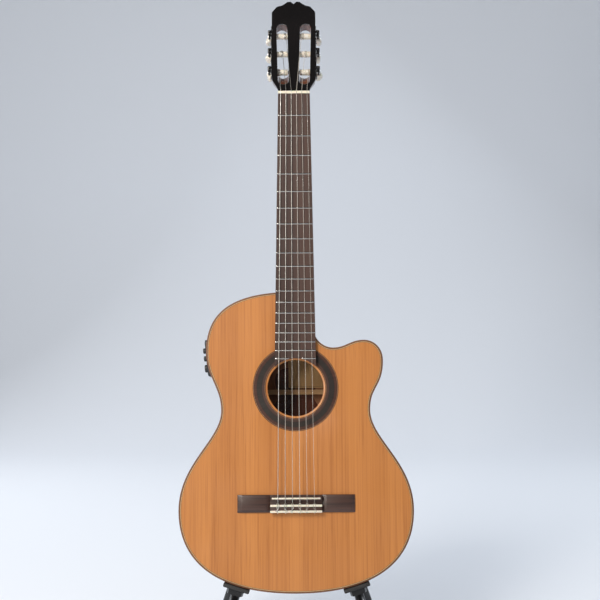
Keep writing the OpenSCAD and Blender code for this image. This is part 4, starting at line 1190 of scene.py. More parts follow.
def makeWinding(i):
    # a helix round the roller that starts where the string meets it and steps outwards a wire's width a turn
    r, side = strings["radii"][i], strings["sides"][i]
    a = np.linspace(0, 2 * np.pi * strings["turns"], int(26 * strings["turns"]))
    coil = head["rollerR"] + r + 0.05
    x = side * (strings["windX"][strings["rows"][i]] + a / (2 * np.pi) * (2 * r + 0.12))
    path = np.stack([x, head["rollerY"] - coil * np.cos(a), rowZ(i) + coil * np.sin(a)], -1)
    tail = smoothPath(np.concatenate([path[-3:], path[-1:] + [[side * 0.8, 0.4, 0.5]],
                                      path[-1:] + [[side * 1.4, 1.6, 0.7]]]),
                      12)
    path = np.concatenate([path[:-3], tail])
    return placedBy(inHead, tube(path, r, 10))


for kind, group, material, slot, stood in (("Bass", (0, 1, 2), silverWinding, "wound_string",
                                            "bass_strings"),
                                           ("Treble", (3, 4, 5), nylon, "nylon_string", "treble_strings")):
    addPiece("strings" + kind, **joined([makeString(i) for i in group]), mats=(material,), stands=(stood,),
             slot=slot)
    for i in group:
        addPiece("winding_" + strings["names"][i], **makeWinding(i), mats=(material,),
                 body="roller_" + strings["names"][i], slot=slot)


nutLook = dict(width=52.0, round=1.1, slot=0.09)


def makeNut(s):
    # the top line dips in a half round under each string; the section's two upper edges are rounded
    x = np.linspace(-s["width"] / 2, s["width"] / 2, 301)
    top = np.full_like(x, strings["nutY"] + 0.1)
    for i, r in enumerate(strings["radii"]):
        d = np.abs(x - stringX(i, strings["nutSpread"]) * 1.003)
        cut = strings["nutY"] + np.sqrt(np.maximum((r + s["slot"])**2 - d**2, 0))
        top = np.where(d < r + s["slot"], np.maximum(top, cut), top)
    endRound = 0.5 * (1 - np.sqrt(np.clip(1 - (np.maximum(np.abs(x) - s["width"] / 2 + 0.5, 0) / 0.5)**2, 0,
                                          1)))
    top = top + endRound
    a = np.linspace(0, np.pi / 2, 5)
    z0, z1, r = nutZ, nutZ + guitar["nutT"], s["round"]
    zz = np.concatenate([[z0], z0 + r * 0.3 * (1 - np.cos(a)), z1 - r + r * np.sin(a), [z1]])
    dy = np.concatenate([[0.0], r * 0.3 * (1 - np.sin(a)), r * (1 - np.cos(a)), [0.0]])
    y = top[:, None] + dy[None, 1:-1]
    y = np.concatenate([np.zeros((len(x), 1)), y, np.zeros((len(x), 1))], 1)
    rings = np.stack([np.broadcast_to(x[:, None], y.shape), y, np.broadcast_to(zz[None], y.shape)], -1)
    return surface(rings)


addPiece("boneNut", **placedBy(inGuitar, makeNut(nutLook)), mats=(bone,), stands=("nut",), slot="bone",
         sharp=50)


def crownedBar(x0, x1, z0, z1, base, height, crown, ramp=0.0, edge=0.6, steps=11):
    # a bar along x whose section is a flat-sided arch; its ends ramp down and its edges are eased
    a = np.linspace(0, 1, steps)
    z = z0 + (z1 - z0) * (0.5 - 0.5 * np.cos(np.pi * a))
    rise = height - crown * (2 * (z - z0) / (z1 - z0) - 1)**2
    side = np.minimum(z - z0, z1 - z)
    rise = rise - edge * (1 - np.sqrt(np.clip(1 - (1 - np.minimum(side / edge, 1))**2, 0, 1)))
    reach = max(ramp, 0.9)
    xs = x0 + np.array([0.0, 0.15, 0.6, reach, reach + 0.6])
    fall = np.array([0.34, 0.38, 0.42, 0.97, 1.0] if ramp else [0.90, 0.96, 0.99, 1.0, 1.0])
    xs = np.concatenate([xs, (x0 + x1) - xs[::-1]])
    fall = np.concatenate([fall, fall[::-1]])
    rings = []
    for x, f in zip(xs, fall):
        top = np.stack([np.full(steps, x), -base - (rise - base) * f, z], -1)
        rings.append(np.concatenate([top, [[x, 0.0, z1], [x, 0.0, z0]]]))
    return surface(np.array(rings))


def makeBridge(b):
    # two wings and a tie block: the saddle's block above, a channel, and the block that the strings go
    # through
    half, wing = b["tieW"] / 2, b["width"] / 2
    parts = [crownedBar(-wing, -half + 0.4, bridgeLow, bridgeTop, 0.0, b["wingH"], 1.5, b["ramp"]),
             crownedBar(half - 0.4, wing, bridgeLow, bridgeTop, 0.0, b["wingH"], 1.5, b["ramp"])]
    parts.append(block((-half, half), (-b["wingH"] + 0.6, 0.0), (bridgeLow + 0.2, bridgeTop - 0.1), 0.4))
    parts.append(block((-half, half), (-b["tieH"] + 0.1, -0.5), (bridgeLow, tieFront), 0.5))
    parts.append(block((-half, half), (-b["blockH"], -0.5), (saddleZ + b["saddleT"] / 2, saddleZ + 3.6),
                       0.5))
    parts.append(block((-half, half), (-b["blockH"], -0.5), (saddleZ - 3.6, saddleZ - b["saddleT"] / 2),
                       0.5))
    for side in (-1, 1):
        x = sorted((side * b["saddleW"] / 2, side * half))
        parts.append(block(x, (-b["blockH"], -0.5), (saddleZ - 3.0, saddleZ + 3.0), 0.5))
    return joined(parts)


addPiece("bridgeWood", **placedBy(inGuitar, makeBridge(bridge)), mats=(bridgeRosewood,), stands=("bridge",),
         slot="rosewood")


def makeSaddle(b):
    # a bone slip with a round crown that falls away behind the strings' breaking line
    a = np.linspace(0, np.pi, 11)
    t = b["saddleT"] / 2 - 0.05
    xs = np.array([0.0, 0.3, 1.2, b["saddleW"] - 1.2, b["saddleW"] - 0.3, b["saddleW"]]) - b["saddleW"] / 2
    drop = np.array([1.4, 0.9, 0.2, 0.2, 0.9, 1.4])
    rings = []
    for x, d in zip(xs, drop):
        y = -(strings["saddleH"] - t - d) - t * np.sin(a)
        rings.append(np.concatenate([np.stack([np.full(11, x), y, saddleZ + t * np.cos(a)], -1),
                                     [[x, -2.0, saddleZ - t], [x, -2.0, saddleZ + t]]]))
    return surface(np.array(rings))


addPiece("boneSaddle", **placedBy(inGuitar, makeSaddle(bridge)), mats=(bone,), stands=("saddle",),
         slot="bone")
strips = [block((-bridge["tieW"] / 2, bridge["tieW"] / 2),
                (-bridge["tieH"] - bridge["stripRise"], -bridge["tieH"] + 1.0),
                (z, z + bridge["stripW"]), 0.5) for z in (bridgeLow, tieFront - bridge["stripW"])]
addPiece("tieStrips", **placedBy(inGuitar, joined(strips)), mats=(bone,), stands=("tie_strips",),
         slot="bone")
print("strings, nut and bridge ready")


tuner = dict(teeth=14, wormPitch=2.0, wormR=2.1, meshGap=0.12, plateT=1.2, gearT=3.0,
             lugW=1.5, lugGap=0.25, buttonLen=17.0, buttonHalf=7.5, buttonThick=4.0,
             turns=(70, 20, -35, 40, 85, -15), plateHalf=7.0)
gearR = tuner["teeth"] * tuner["wormPitch"] / (2 * math.pi)
slotIn, slotOut = head["barW"] / 2, head["barW"] / 2 + head["slotW"]
headSide = head["width"] / 2
gearX = headSide + tuner["plateT"] + tuner["wormR"] + 0.9
wormOff = gearR + tuner["wormR"] + tuner["meshGap"]
wormLen = 4 * tuner["wormPitch"]
buttonY = head["thick"] + 6.0


def alongRoller(i):
    # a lathe's axis laid along x, outwards from the middle of the headstock
    side = strings["sides"][i]

    def place(p):
        return inHead(np.stack([side * p[:, 2], head["rollerY"] + p[:, 1], rowZ(i) + p[:, 0]], -1))
    return place


def alongWorm(i):
    # a lathe's axis laid along the headstock's depth, at the worm's place
    side = strings["sides"][i]

    def place(p):
        return inHead(np.stack([side * gearX + p[:, 0], head["rollerY"] + p[:, 2],
                                rowZ(i) + wormOff - p[:, 1]], -1))
    return place


def makeSleeve():
    # the pearl roller: two shallow rings near its ends and one round the middle
    z = np.array([slotIn + 0.3, slotIn + 0.5, slotIn + 0.9, slotIn + 1.6, slotIn + 1.8, slotIn + 2.2,
                  slotIn + 2.4,
                  slotOut - 2.4, slotOut - 2.2, slotOut - 1.8, slotOut - 1.6, slotOut + 4.0, slotOut + 4.2])
    r = np.array([4.2, 4.7, 4.95, 4.95, 4.7, 4.7, 4.95, 4.95, 4.7, 4.7, 4.95, 4.95, 4.3])
    return turned(z, r, 40)


def makeAxle():
    # the steel pin in the middle bar, the shaft through the plate and the screw that holds the gear
    pin = turned([slotIn - 5.3, slotIn - 5.0, slotIn + 0.6], [2.1, 2.45, 2.45], 24)
    shaft = turned([headSide - 3, gearX - 1.6, gearX - 1.6, gearX + 1.9], [1.95, 1.95, 2.3, 2.3], 24)
    out = gearX + tuner["gearT"] / 2
    dome = turned([out - 0.2, out + 0.5, out + 1.0, out + 1.35, out + 1.5], [3.1, 3.1, 2.7, 1.8, 0.6], 32)
    return joined([pin, shaft, dome])


def makeGear(s):
    # the radius steps between tooth and gap by a smooth function of the fraction of a tooth's pitch
    n = s["teeth"] * 14
    a = np.arange(n) * 2 * np.pi / n
    f = (a * s["teeth"] / (2 * np.pi)) % 1.0
    off = -0.65 + 1.15 * smooth((0.24 - np.abs(f - 0.5)) / 0.11)
    r = gearR + off
    t = s["gearT"] / 2
    rings = []
    for z, k in ((gearX - t, -0.35), (gearX - t + 0.35, 0.0), (gearX + t - 0.35, 0.0), (gearX + t, -0.35)):
        rings.append(np.stack([(r + k) * np.cos(a), (r + k) * np.sin(a), np.full(n, z)], -1))
    return surface(np.array(rings))


def makeWorm(s):
    # the thread's crest goes round once for each pitch along the axis; two journals run on either side
    n, m = 24, 97
    z = np.linspace(-wormLen / 2, wormLen / 2, m)[:, None]
    a = np.arange(n)[None] * 2 * np.pi / n
    lead = a - np.pi / 2 - 2 * np.pi * z / s["wormPitch"]
    wave = smooth(0.5 + 0.62 * np.cos(lead))
    fade = smooth((wormLen / 2 - np.abs(z)) / 0.5)
    r = s["wormR"] - 0.5 + 0.95 * wave * fade
    thread = surface(np.stack([r * np.cos(a), r * np.sin(a), z + 0 * r], -1))
    end = wormLen / 2 + s["lugGap"] + s["lugW"]
    back = turned([-end - 1.0, -end - 0.8, -end, -wormLen / 2 + 0.1], [1.1, 1.45, 1.45, 1.45], 24)
    fore = turned([wormLen / 2 - 0.1, end + 0.3, end + 0.3, end + 1.5, end + 2.2,
                   buttonY - head["rollerY"] + 9.0],
                  [1.45, 1.45, 2.4, 2.4, 1.45, 1.45], 24)
    return joined([thread, back, fore])


def makeButton(i, s):
    # oval sections up the stem: the width swells on a half sine and the thickness is held flatter
    q = np.linspace(0, 1, 25)
    shape = np.sin(np.pi * q) ** 0.62
    neckR = 2.9 * (1 - smooth(q / 0.3))
    half = np.maximum(s["buttonHalf"] * shape, neckR) * np.where(q > 0.985, 0.7, 1)
    thick = np.maximum(s["buttonThick"] * np.clip(np.sin(np.pi * q) * 1.7, 0, 1) ** 0.5, neckR)
    half[0], thick[0] = 2.6, 2.6
    half[-1], thick[-1] = 1.2, 0.8
    c, sn = circle(44)
    x = half[:, None] * np.sign(c) * np.abs(c) ** 0.9
    z = thick[:, None] * np.sign(sn) * np.abs(sn) ** 0.85
    turn = math.radians(s["turns"][i])
    y = buttonY + s["buttonLen"] * (0.5 - 0.5 * np.cos(np.pi * q))
    rings = np.stack([x * math.cos(turn) + z * math.sin(turn), y[:, None] + 0 * x,
                      -x * math.sin(turn) + z * math.cos(turn)], -1)
    rings += [strings["sides"][i] * gearX, 0, rowZ(i) + wormOff]
    return placedBy(inHead, surface(rings))


def makeTunerPlate(side, s):
    # a plated strip with a wavy edge, and a pair of lugs that carry each worm
    mid = head["thick"] / 2 - 0.5
    low = head["rollerZ"] + head["rollerPitch"] + wormOff / 2 - 52
    high = low + 104
    z = np.linspace(low, high, 60)
    phase = (z - head["rollerZ"] - wormOff / 2) / head["rollerPitch"]
    wave = 0.5 + 0.5 * np.cos(2 * np.pi * phase)
    ends = np.clip(np.minimum(z - low, high - z) / 5.0, 0, 1)
    half = (s["plateHalf"] - 1.6 + 1.6 * wave) * np.sqrt(np.clip(1 - (1 - ends)**2, 0.02, 1))
    edgeA = np.stack([mid + half, z], -1)
    edgeB = np.stack([mid - half, z], -1)[::-1]
    outline = np.concatenate([edgeA, edgeB])
    x0, x1 = side * headSide, side * (headSide + s["plateT"])
    rings = [np.insert(outline * [k, 1] + [mid * (1 - k), 0], 0, x, 1)
             for x, k in ((x0, 1.0), (x0 + 0.8 * (x1 - x0), 1.0), (x1, 0.95))]
    parts = [surface(np.array(rings))]
    for i in range(6):
        if strings["sides"][i] != side:
            continue
        for end in (-1, 1):
            y = head["rollerY"] + end * (wormLen / 2 + s["lugGap"] + s["lugW"] / 2)
            a = np.linspace(-np.pi / 2, np.pi / 2, 13)
            shape = np.concatenate([[[headSide + 0.5, -2.4]],
                                    np.stack([gearX + 0.1 + 2.35 * np.cos(a), 2.35 * np.sin(a)], -1),
                                    [[headSide + 0.5, 2.4]]])
            rings = [np.stack([side * shape[:, 0], np.full(len(shape), y + dy),
                               rowZ(i) + wormOff + shape[:, 1]], -1)
                     for dy in (-s["lugW"] / 2, s["lugW"] / 2)]
            parts.append(surface(np.array(rings)))
    return placedBy(inHead, joined(parts))


for side, word in ((-1, "left"), (1, "right")):
    addPiece("tunerPlate_" + word, **makeTunerPlate(side, tuner), mats=(darkNickel,),
             stands=("tuner_plate_" + word,),
             slot="dark_nickel")
for i, name in enumerate(strings["names"]):
    place = alongRoller(i)
    rows = (("rollerSleeve_", placedBy(place, makeSleeve()), pearl, "roller_", "roller_", "pearl"),
            ("rollerGear_", placedBy(place, makeGear(tuner)), darkNickel, "roller_", "roller_",
             "dark_nickel"),
            ("rollerAxle_", placedBy(place, makeAxle()), steel, "roller_", "roller_", "screw_steel"),
            ("wormGear_", placedBy(alongWorm(i), makeWorm(tuner)), darkNickel, "tuner_", "worm_",
             "dark_nickel"),
            ("pearlButton_", makeButton(i, tuner), pearl, "tuner_", "button_", "pearl"))
    for piece, made, material, body, stood, slot in rows:
        addPiece(piece + name, **made, mats=(material,), body=body + name, stands=(stood + name,), slot=slot)


def screwHead(r, tall):
    # a low dome with a sunk cross: the dome's height falls inside two thin crossing bars
    rho = np.array([0.0, 0.18, 0.36, 0.5, 0.64, 0.8, 0.92, 1.0])[:, None] * r
    a = np.arange(48)[None] * 2 * np.pi / 48
    x, y = rho * np.cos(a), rho * np.sin(a)
    dome = tall * np.sqrt(np.clip(1 - 0.55 * (rho / r)**2, 0, 1)) + 0 * a
    cross = (np.minimum(np.abs(x), np.abs(y)) < 0.13 * r) & (np.maximum(np.abs(x), np.abs(y)) < 0.66 * r)
    z = dome - np.where(cross, 0.45 * tall, 0)
    top = np.stack([x, y, z], -1)[1:]
    skirt = np.stack([x[-1:], y[-1:], np.full((1, 48), -0.3 * tall)], -1)
    return surface(np.concatenate([top, skirt])[::-1])


def makePlateScrews():
    # four screws a side, between the worms and near the ends of the plate
    parts = []
    for side in (-1, 1):
        for k in (-1, 0, 1, 2):
            z = head["rollerZ"] + head["rollerPitch"] * k + {-1: 24, 2: 12.5}.get(k, 17.5 + wormOff / 2)
            made = screwHead(2.0, 0.85)
            p = made["verts"]
            made["verts"] = inHead(np.stack([side * (headSide + tuner["plateT"] + p[:, 2]),
                                             head["thick"] / 2 - 0.5 + p[:, 0], z + side * p[:, 1]], -1))
            parts.append(made)
    return joined(parts)


addPiece("plateScrews", **makePlateScrews(), mats=(steel,), stands=("tuner_screws",), slot="screw_steel")
print("tuning machines ready")


preamp = dict(z=368.0, length=59.0, width=46.0, proud=2.5, tilt=6.0,
              knobAt=((0, 13.4), (0, 0.6), (0, -15.6)),
              knobR=(4.6, 4.6, 6.4), knobH=5.0, buttonAt=(13, 6))
jack = dict(tilt=4.8, wide=36.0, tall=24.0, depth=25.0)


def preampFrame(s):
    # the panel's frame: x leaves the side at a small tilt, z runs up the side and y runs forwards
    t = math.radians(s["tilt"])
    out = np.array([-math.cos(t), -math.sin(t)])
    reach = (rim[rim[:, 1] > guitar["waistZ"]] @ out).max()
    up = np.array([-math.sin(t), math.cos(t)])
    at = reach * out + (s["z"] + reach * math.sin(t)) / math.cos(t) * up

    def place(p):
        p = np.asarray(p, float)
        flat = at + p[..., :1] * out + p[..., 2:] * up
        return inGuitar(np.stack([flat[..., 0], guitar["upperDepth"] / 2 - p[..., 1], flat[..., 1]], -1))
    return place


inPreamp = preampFrame(preamp)


def panelSlab(w, h, corner, x0, x1, edge, y=0.0, z=0.0, n=6):
    # a rounded oblong raised along x, with its upper edge rounded
    outline = softRect(w, h, corner, n)
    a = np.linspace(0, np.pi / 2, 5)
    rings = [np.insert(outline + [y, z], 0, x0, 1)]
    for t in a:
        rings.append(np.insert(insetOutline(outline, edge * (1 - math.cos(t))) + [y, z], 0,
                               x1 - edge + edge * math.sin(t), 1))
    return surface(np.array(rings))


def makePanel(s):
    # an outer and an inner oblong, a raised line and a battery door
    w, h, p = s["width"], s["length"], s["proud"]
    parts = [panelSlab(w, h, 5, -9.0, p - 0.7, 1.2), panelSlab(w - 5, h - 5, 3.5, 0.0, p, 0.5)]
    parts.append(panelSlab(w - 12, 0.8, 0.3, p - 0.3, p + 0.25, 0.15, 0.0, -24.2, 3))
    parts.append(panelSlab(9.0, 15.0, 1.2, p - 0.3, p + 0.3, 0.25, -14.0, 6.0, 4))
    return joined(parts)


addPiece("preampPanel", **placedBy(inPreamp, makePanel(preamp)), mats=(blackPlastic,),
         stands=("preamp_panel",),
         slot="black_plastic")
lamp = turned([preamp["proud"] - 0.4, preamp["proud"] + 0.3, preamp["proud"] + 0.7], [1.5, 1.5, 0.8], 24)
lamp["verts"] = np.stack([lamp["verts"][:, 2], lamp["verts"][:, 0] + 13, lamp["verts"][:, 1] - 8], -1)
addPiece("preampLamp", **placedBy(inPreamp, lamp), mats=(steel,), slot="screw_steel")


def makeKnob(k, s):
    # a cap with fine flutes round its skirt, a dished top and a raised pointer
    r, p, h = s["knobR"][k], s["proud"], s["knobH"]
    z = np.array([-1.0, p + 0.3, p + 0.35, p + 0.7, p + h - 1.1, p + h - 0.3, p + h + 0.25, p + h + 0.3,
                  p + h - 0.1])
    rr = np.array([2.6, 2.6, r - 0.3, r, r - 0.15, r - 0.5, r - 1.1, r - 1.6, r - 2.2])

    def flutes(a, station):
        skirt = smooth((station - p - 0.5) / 0.3) * smooth((p + h - 0.6 - station) / 0.4)
        return 1 - 0.045 * skirt * (0.5 + 0.5 * np.cos(18 * a))
    cap = turned(z, rr, 108, flutes)
    pointer = block((p + h - 0.4, p + h + 0.3), (-0.35, 0.35), (0.8, r - 0.9), 0.12)
    v = cap["verts"]
    cap["verts"] = np.stack([v[:, 2], v[:, 0] + s["knobAt"][k][0], v[:, 1] + s["knobAt"][k][1]], -1)
    pointer["verts"] = pointer["verts"] + [0, s["knobAt"][k][0], s["knobAt"][k][1]]
    return placedBy(inPreamp, cap), placedBy(inPreamp, pointer)


for k, name in enumerate(("volume_knob", "bass_knob", "treble_knob")):
    cap, pointer = makeKnob(k, preamp)
    addPiece(name.replace("_k", "K") + "Cap", **cap, mats=(blackPlastic,), body=name, stands=(name,),
             slot="black_plastic")
    addPiece(name.replace("_k", "K") + "Pointer", **pointer, mats=(bone,), body=name, slot="black_plastic")
plunger = turned([-1.0, preamp["proud"] + 1.2, preamp["proud"] + 1.8, preamp["proud"] + 2.2],
                 [2.8, 2.8, 2.5, 1.6], 32)
v = plunger["verts"] - [0, 0, 3.6]
plunger["verts"] = np.stack([v[:, 2] + 1.8, v[:, 0] + preamp["buttonAt"][0],
                             v[:, 1] + preamp["buttonAt"][1]], -1)
addPiece("phaseButtonCap", **placedBy(inPreamp, plunger), mats=(darkNickel,), body="phase_button",
         stands=("phase_button",), slot="black_plastic")


def jackFrame(s):
    # the rim's furthest point along the tilted axis, with z pointing out of the body
    t = math.radians(s["tilt"])
    out = np.array([-math.sin(t), -math.cos(t)])
    at = rim[np.argmax(rim @ out)]
    across = np.array([-math.cos(t), math.sin(t)])

    def place(p):
        flat = at + p[:, :1] * across + p[:, 2:] * out
        return inGuitar(np.stack([flat[:, 0], guitar["lowerDepth"] / 2 + p[:, 1], flat[:, 1]], -1))
    return place


def makeJack(s):
    # an oval dome that sinks in the middle to the socket's threaded sleeve and six-sided nut
    c, sn = circle(64)
    q = np.array([1.0, 1.0, 0.97, 0.90, 0.80, 0.66, 0.52, 0.44, 0.40])
    z = np.array([-3.5, 0.3, 1.2, 2.1, 2.7, 3.0, 2.6, 1.6, 1.2])
    oval = np.stack([q[:, None] * s["wide"] / 2 * c, q[:, None] * s["tall"] / 2 * sn, z[:, None] + 0 * c],
                    -1)
    dish = surface(oval)
    sleeve = turned([-s["depth"], 2.2, 2.45, 2.45, 2.2, -s["depth"] + 1.0], [4.6, 4.6, 4.4, 3.6, 3.35, 3.35],
                    40)
    a = np.arange(6) * np.pi / 3
    hexes = [np.stack([r * np.cos(a), r * np.sin(a), np.full(6, zz)], -1)
             for r, zz in ((6.2, 1.0), (6.2, 2.2), (5.8, 2.4))]
    return dish, joined([sleeve, surface(np.array(hexes))])


inJack = jackFrame(jack)
dish, sleeve = makeJack(jack)
addPiece("jackDish", **placedBy(inJack, dish), mats=(blackPlastic,), stands=("jack_socket",),
         slot="black_plastic")
addPiece("jackSleeve", **placedBy(inJack, sleeve), mats=(darkNickel,), slot="black_plastic")
print("preamp and jack ready")


splay = math.radians(stand["splay"])
downX, downZ = math.sin(splay), -math.cos(splay)
touchPoint = rim[np.argmax(rim @ [downX, downZ])]
hubZ = touchPoint[1] + (touchPoint[0] - stand["pinX"]) / math.tan(splay)
padU = (touchPoint[0] - stand["pinX"]) * downX + (touchPoint[1] - hubZ) * downZ + stand["gap"]
plateGap, hubPlate = 2 * stand["legR"] + 1.4, 5.0
hubY = guitar["lowerDepth"] + 8
legY = hubY + hubPlate + plateGap / 2
collarU, collarR = padU - 4, stand["legR"] + 5
bendU = collarU + stand["collarH"] + 3 + stand["legR"] + 4
footX = stand["pinX"] + (hubZ + stand["restH"]) * math.tan(splay)


def legAt(side, u):
    # a point u millimetres down the leg from its hinge
    return inGuitar([side * (stand["pinX"] + u * math.sin(splay)), legY, hubZ - u * math.cos(splay)]) * 1000


def inLeg(side):
    # z runs down the leg from its hinge, y into the back, x along the rim
    def place(p):
        p = np.asarray(p, float)
        ax, az = side * math.cos(splay), math.sin(splay)
        x = side * stand["pinX"] + p[..., 0] * ax + p[..., 2] * side * math.sin(splay)
        z = hubZ + p[..., 0] * az - p[..., 2] * math.cos(splay)
        return inGuitar(np.stack([x, legY + p[..., 1], z], -1))
    return place


def makeLeg(side, s):
    # one tube runs down from the hinge and bends forward to its foot; a thinner one leaves it for the rear
    # foot
    footPad = s["legR"] + 2
    front = np.array([side * footX, placeY - s["frontReach"], footPad])
    rear = np.array([side * footX, placeY + s["rearReach"], footPad])
    line = [legAt(side, u) for u in (4, 60, 140, bendU - 22)]
    bendAt = legAt(side, bendU)
    way = (front - bendAt) / np.linalg.norm(front - bendAt)
    bend = parabola(legAt(side, bendU - 20), bendAt, bendAt + way * 20, 14)
    main = tube(np.concatenate([line, bend, [bendAt + way * 60, front]]), s["legR"] - 0.05, 28, (0, 1, 0))
    start = legAt(side, 34)
    back = tube(np.linspace(start, rear, 6), s["legR"] - 1, 24, (0, 1, 0))
    return placedBy(onFloor, joined([main, back])), front, rear


def makeCollarRings(side, s):
    # the two stops above and below the arm's collar, and the flattened ears round the hinge
    parts = []
    for u in (collarU - 3.4, collarU + s["collarH"] + 0.4):
        ring = turned([u, u + 0.5, u + 2.5, u + 3.0], [10.3, 11.0, 11.0, 10.3], 40)
        parts.append(placedBy(inLeg(side), ring))
    half = (plateGap - 0.6) / 2
    ear = turned([-half, -half + 0.6, half - 0.6, half], [10.4, 11.0, 11.0, 10.4], 40)
    v = ear["verts"]
    ear["verts"] = inLeg(side)(np.stack([v[:, 0], v[:, 2], v[:, 1]], -1))
    return joined(parts + [ear])


def makeFoot(spot, s):
    # a rubber boot with a spread sole, three ribs and a rolled top lip
    z = np.array([0.0, 0.8, 3.0, 3.6, 6.0, 6.6, 8.2, 8.8, 10.4, 11.0, 12.6, 15.0, 18.4, 19.6, 20.0])
    r = np.array([11.2, 11.9, 12.0, 11.3, 11.3, 11.9, 11.9, 11.2, 11.2, 11.8, 11.8, 11.0, 10.8, 10.4, 9.6])
    made = turned(z, r, 48)
    made["verts"] = onFloor(made["verts"] + [spot[0], spot[1], 0])
    return made


def makeArm(side, s):
    # a collar that turns on the leg and a flat steel arm that reaches under the guitar
    z = np.array([collarU + 0.0, collarU + 1.0, collarU + s["collarH"] - 1.0, collarU + s["collarH"]])
    c, sn = circle(48)
    outer = np.array([collarR - 0.8, collarR, collarR, collarR - 0.8])
    inner = s["legR"] + 0.05
    rings = [np.stack([r * c, r * sn, np.full(48, zz)], -1) for r, zz in zip(outer, z)]
    rings += [np.stack([inner * c, inner * sn, np.full(48, zz)], -1) for zz in (z[-1], z[0])]
    collar = surface(np.array(rings), closeRows=True)
    low = padU + s["padT"]
    a = np.linspace(0, 1, 18)
    y = -legY - 2 + a * (legY + 2 - s["legR"] - 1.2)
    near = np.clip((y + legY + 2) / 6.0, 0, 1)
    half = s["armW"] / 2 * np.sqrt(np.clip(1 - 0.35 * (1 - near)**2, 0, 1))
    outline = softRect(s["armW"], s["armT"], 2.2, 5)
    rings = np.stack([outline[None, :, 0] * (half / (s["armW"] / 2))[:, None],
                      y[:, None] + 0 * outline[None, :, 0],
                      low + s["armT"] / 2 + 0 * y[:, None] + outline[None, :, 1]], -1)
    return placedBy(inLeg(side), joined([collar, surface(rings)]))


def makePad(side, s):
    # rubber with rounded edges; shallow grooves cross its face every few millimetres
    outline = softRect(s["padW"], s["padT"], 2.0, 5)
    y0, y1 = -legY - 5, -collarR - 2
    pitchY = 5.0
    y = np.linspace(y0, y1, int((y1 - y0) / pitchY * 8))
    ends = np.clip(np.minimum(y - y0, y1 - y) / 2.0, 0, 1)
    ease = np.sqrt(np.clip(1 - (1 - ends)**2, 0.05, 1))
    groove = 0.6 * smooth((np.cos(2 * np.pi * (y - y0) / pitchY) - 0.62) / 0.3)
    x = outline[None, :, 0] * (1 - (1 - ease)[:, None] * 0.06)
    depth = outline[None, :, 1] * (0.6 + 0.4 * ease[:, None])
    face = np.clip(-outline[None, :, 1] / (s["padT"] / 2), 0, 1)
    z = padU + s["padT"] / 2 + depth + face * groove[:, None]
    return placedBy(inLeg(side), surface(np.stack([x, y[:, None] + 0 * x, z], -1)))


for side, word in ((-1, "left"), (1, "right")):
    legTubes, front, rear = makeLeg(side, stand)
    feet = joined([makeFoot(front, stand), makeFoot(rear, stand)])
    rows = (("legTubes_", legTubes, standPaint, "_leg", "_leg", "stand_black"),
            ("legStops_", makeCollarRings(side, stand), standPaint, "_leg", "_leg", "stand_black"),
            ("feet_", feet, rubber, "_leg", "_feet", "black_rubber"),
            ("arm_", makeArm(side, stand), standPaint, "_arm", "_arm", "stand_black"),
            ("armPad_", makePad(side, stand), rubber, "_arm", "_pad", "black_rubber"))
    for piece, made, material, body, stood, slot in rows:
        addPiece(piece + word, **made, mats=(material,), body=word + body, stands=(word + stood,), slot=slot)


def makeHub():
    # two shouldered plates with a bridge piece across their tops
    p = stand["pinX"]
    corners = np.array([[-p - 14, -14], [p + 14, -14], [p + 14, 8], [p + 6, 24], [-p - 6, 24], [-p - 14, 8]])
    outline = roundedCorners(corners, 5.0) + [0, hubZ]
    rearY = legY + plateGap / 2
    parts = [plateSolid(outline, hubY, hubY + hubPlate, 0.9),
             plateSolid(outline, rearY, rearY + hubPlate, 0.9)]
    parts.append(block((-p - 5, p + 5), (hubY + 1, hubY + 1 + plateGap + 6), (hubZ + 13.5, hubZ + 21.5),
                       0.9))
    return placedBy(inGuitar, joined(parts))


def roundedCorners(corners, r, n=5):
    # each corner becomes a parabola between the points a radius away along its two edges
    trios = zip(np.roll(corners, 1, 0), corners, np.roll(corners, -1, 0))
    return np.concatenate([easedCorner(a, b, d, r, n) for a, b, d in trios])


addPiece("hubPlates", **makeHub(), mats=(standPaint,), body="stand", stands=("stand_hub",),
         slot="stand_black")


def makePins():
    # a shank through both hub plates with a domed head at its rear end
    parts = []
    length = plateGap + 2 * hubPlate
    for side in (-1, 1):
        z = np.array([0.4, 1.0, length - 1.2, length - 1.0, length + 0.4, length + 1.2, length + 1.5])
        r = np.array([3.4, 4.0, 4.0, 7.0, 6.8, 4.6, 2.0])
        made = turned(z, r, 40)
        v = made["verts"]
        made["verts"] = inGuitar(np.stack([side * stand["pinX"] + v[:, 0], hubY + 1 + v[:, 2],
                                           hubZ + v[:, 1]], -1))
        parts.append(made)
    return joined(parts)


addPiece("hingePins", **makePins(), mats=(steel,), body="stand", stands=("hinge_pins",), slot="stand_steel")


def makeBackRest():
    # a moulded pad whose face lies along the tapered back and whose edge is well rounded
    outline = softRect(64, 46, 8, 7) + [0, hubZ + 4]
    face = backDepth(outline[:, 1]) + stand["gap"]
    a = np.linspace(0, np.pi / 2, 6)
    rings = []
    for t in a:
        p = insetOutline(outline, 3.0 * (1 - math.sin(t)))
        rings.append(np.stack([p[:, 0], face + 3.0 * (1 - math.cos(t)), p[:, 1]], -1))
    rings.append(np.insert(outline, 1, hubY - 1.2, 1))
    rings.append(np.insert(insetOutline(outline, 0.8), 1, hubY, 1))
    return placedBy(inGuitar, surface(np.array(rings)))


addPiece("backRestPad", **makeBackRest(), mats=(rubber,), body="stand", stands=("back_rest",),
         slot="black_rubber")
print("stand ready")


studio = dict(floor=(0.80, 0.83, 0.88, 1), world=(0.90, 0.94, 1.0, 1), worldPower=0.36, glossPower=0.06,
              keyPower=27.0, sidePower=9.0, fillPower=3.2, rimPower=20.0, backPower=13.0,
              sweepY=1.6, sweepR=0.9)


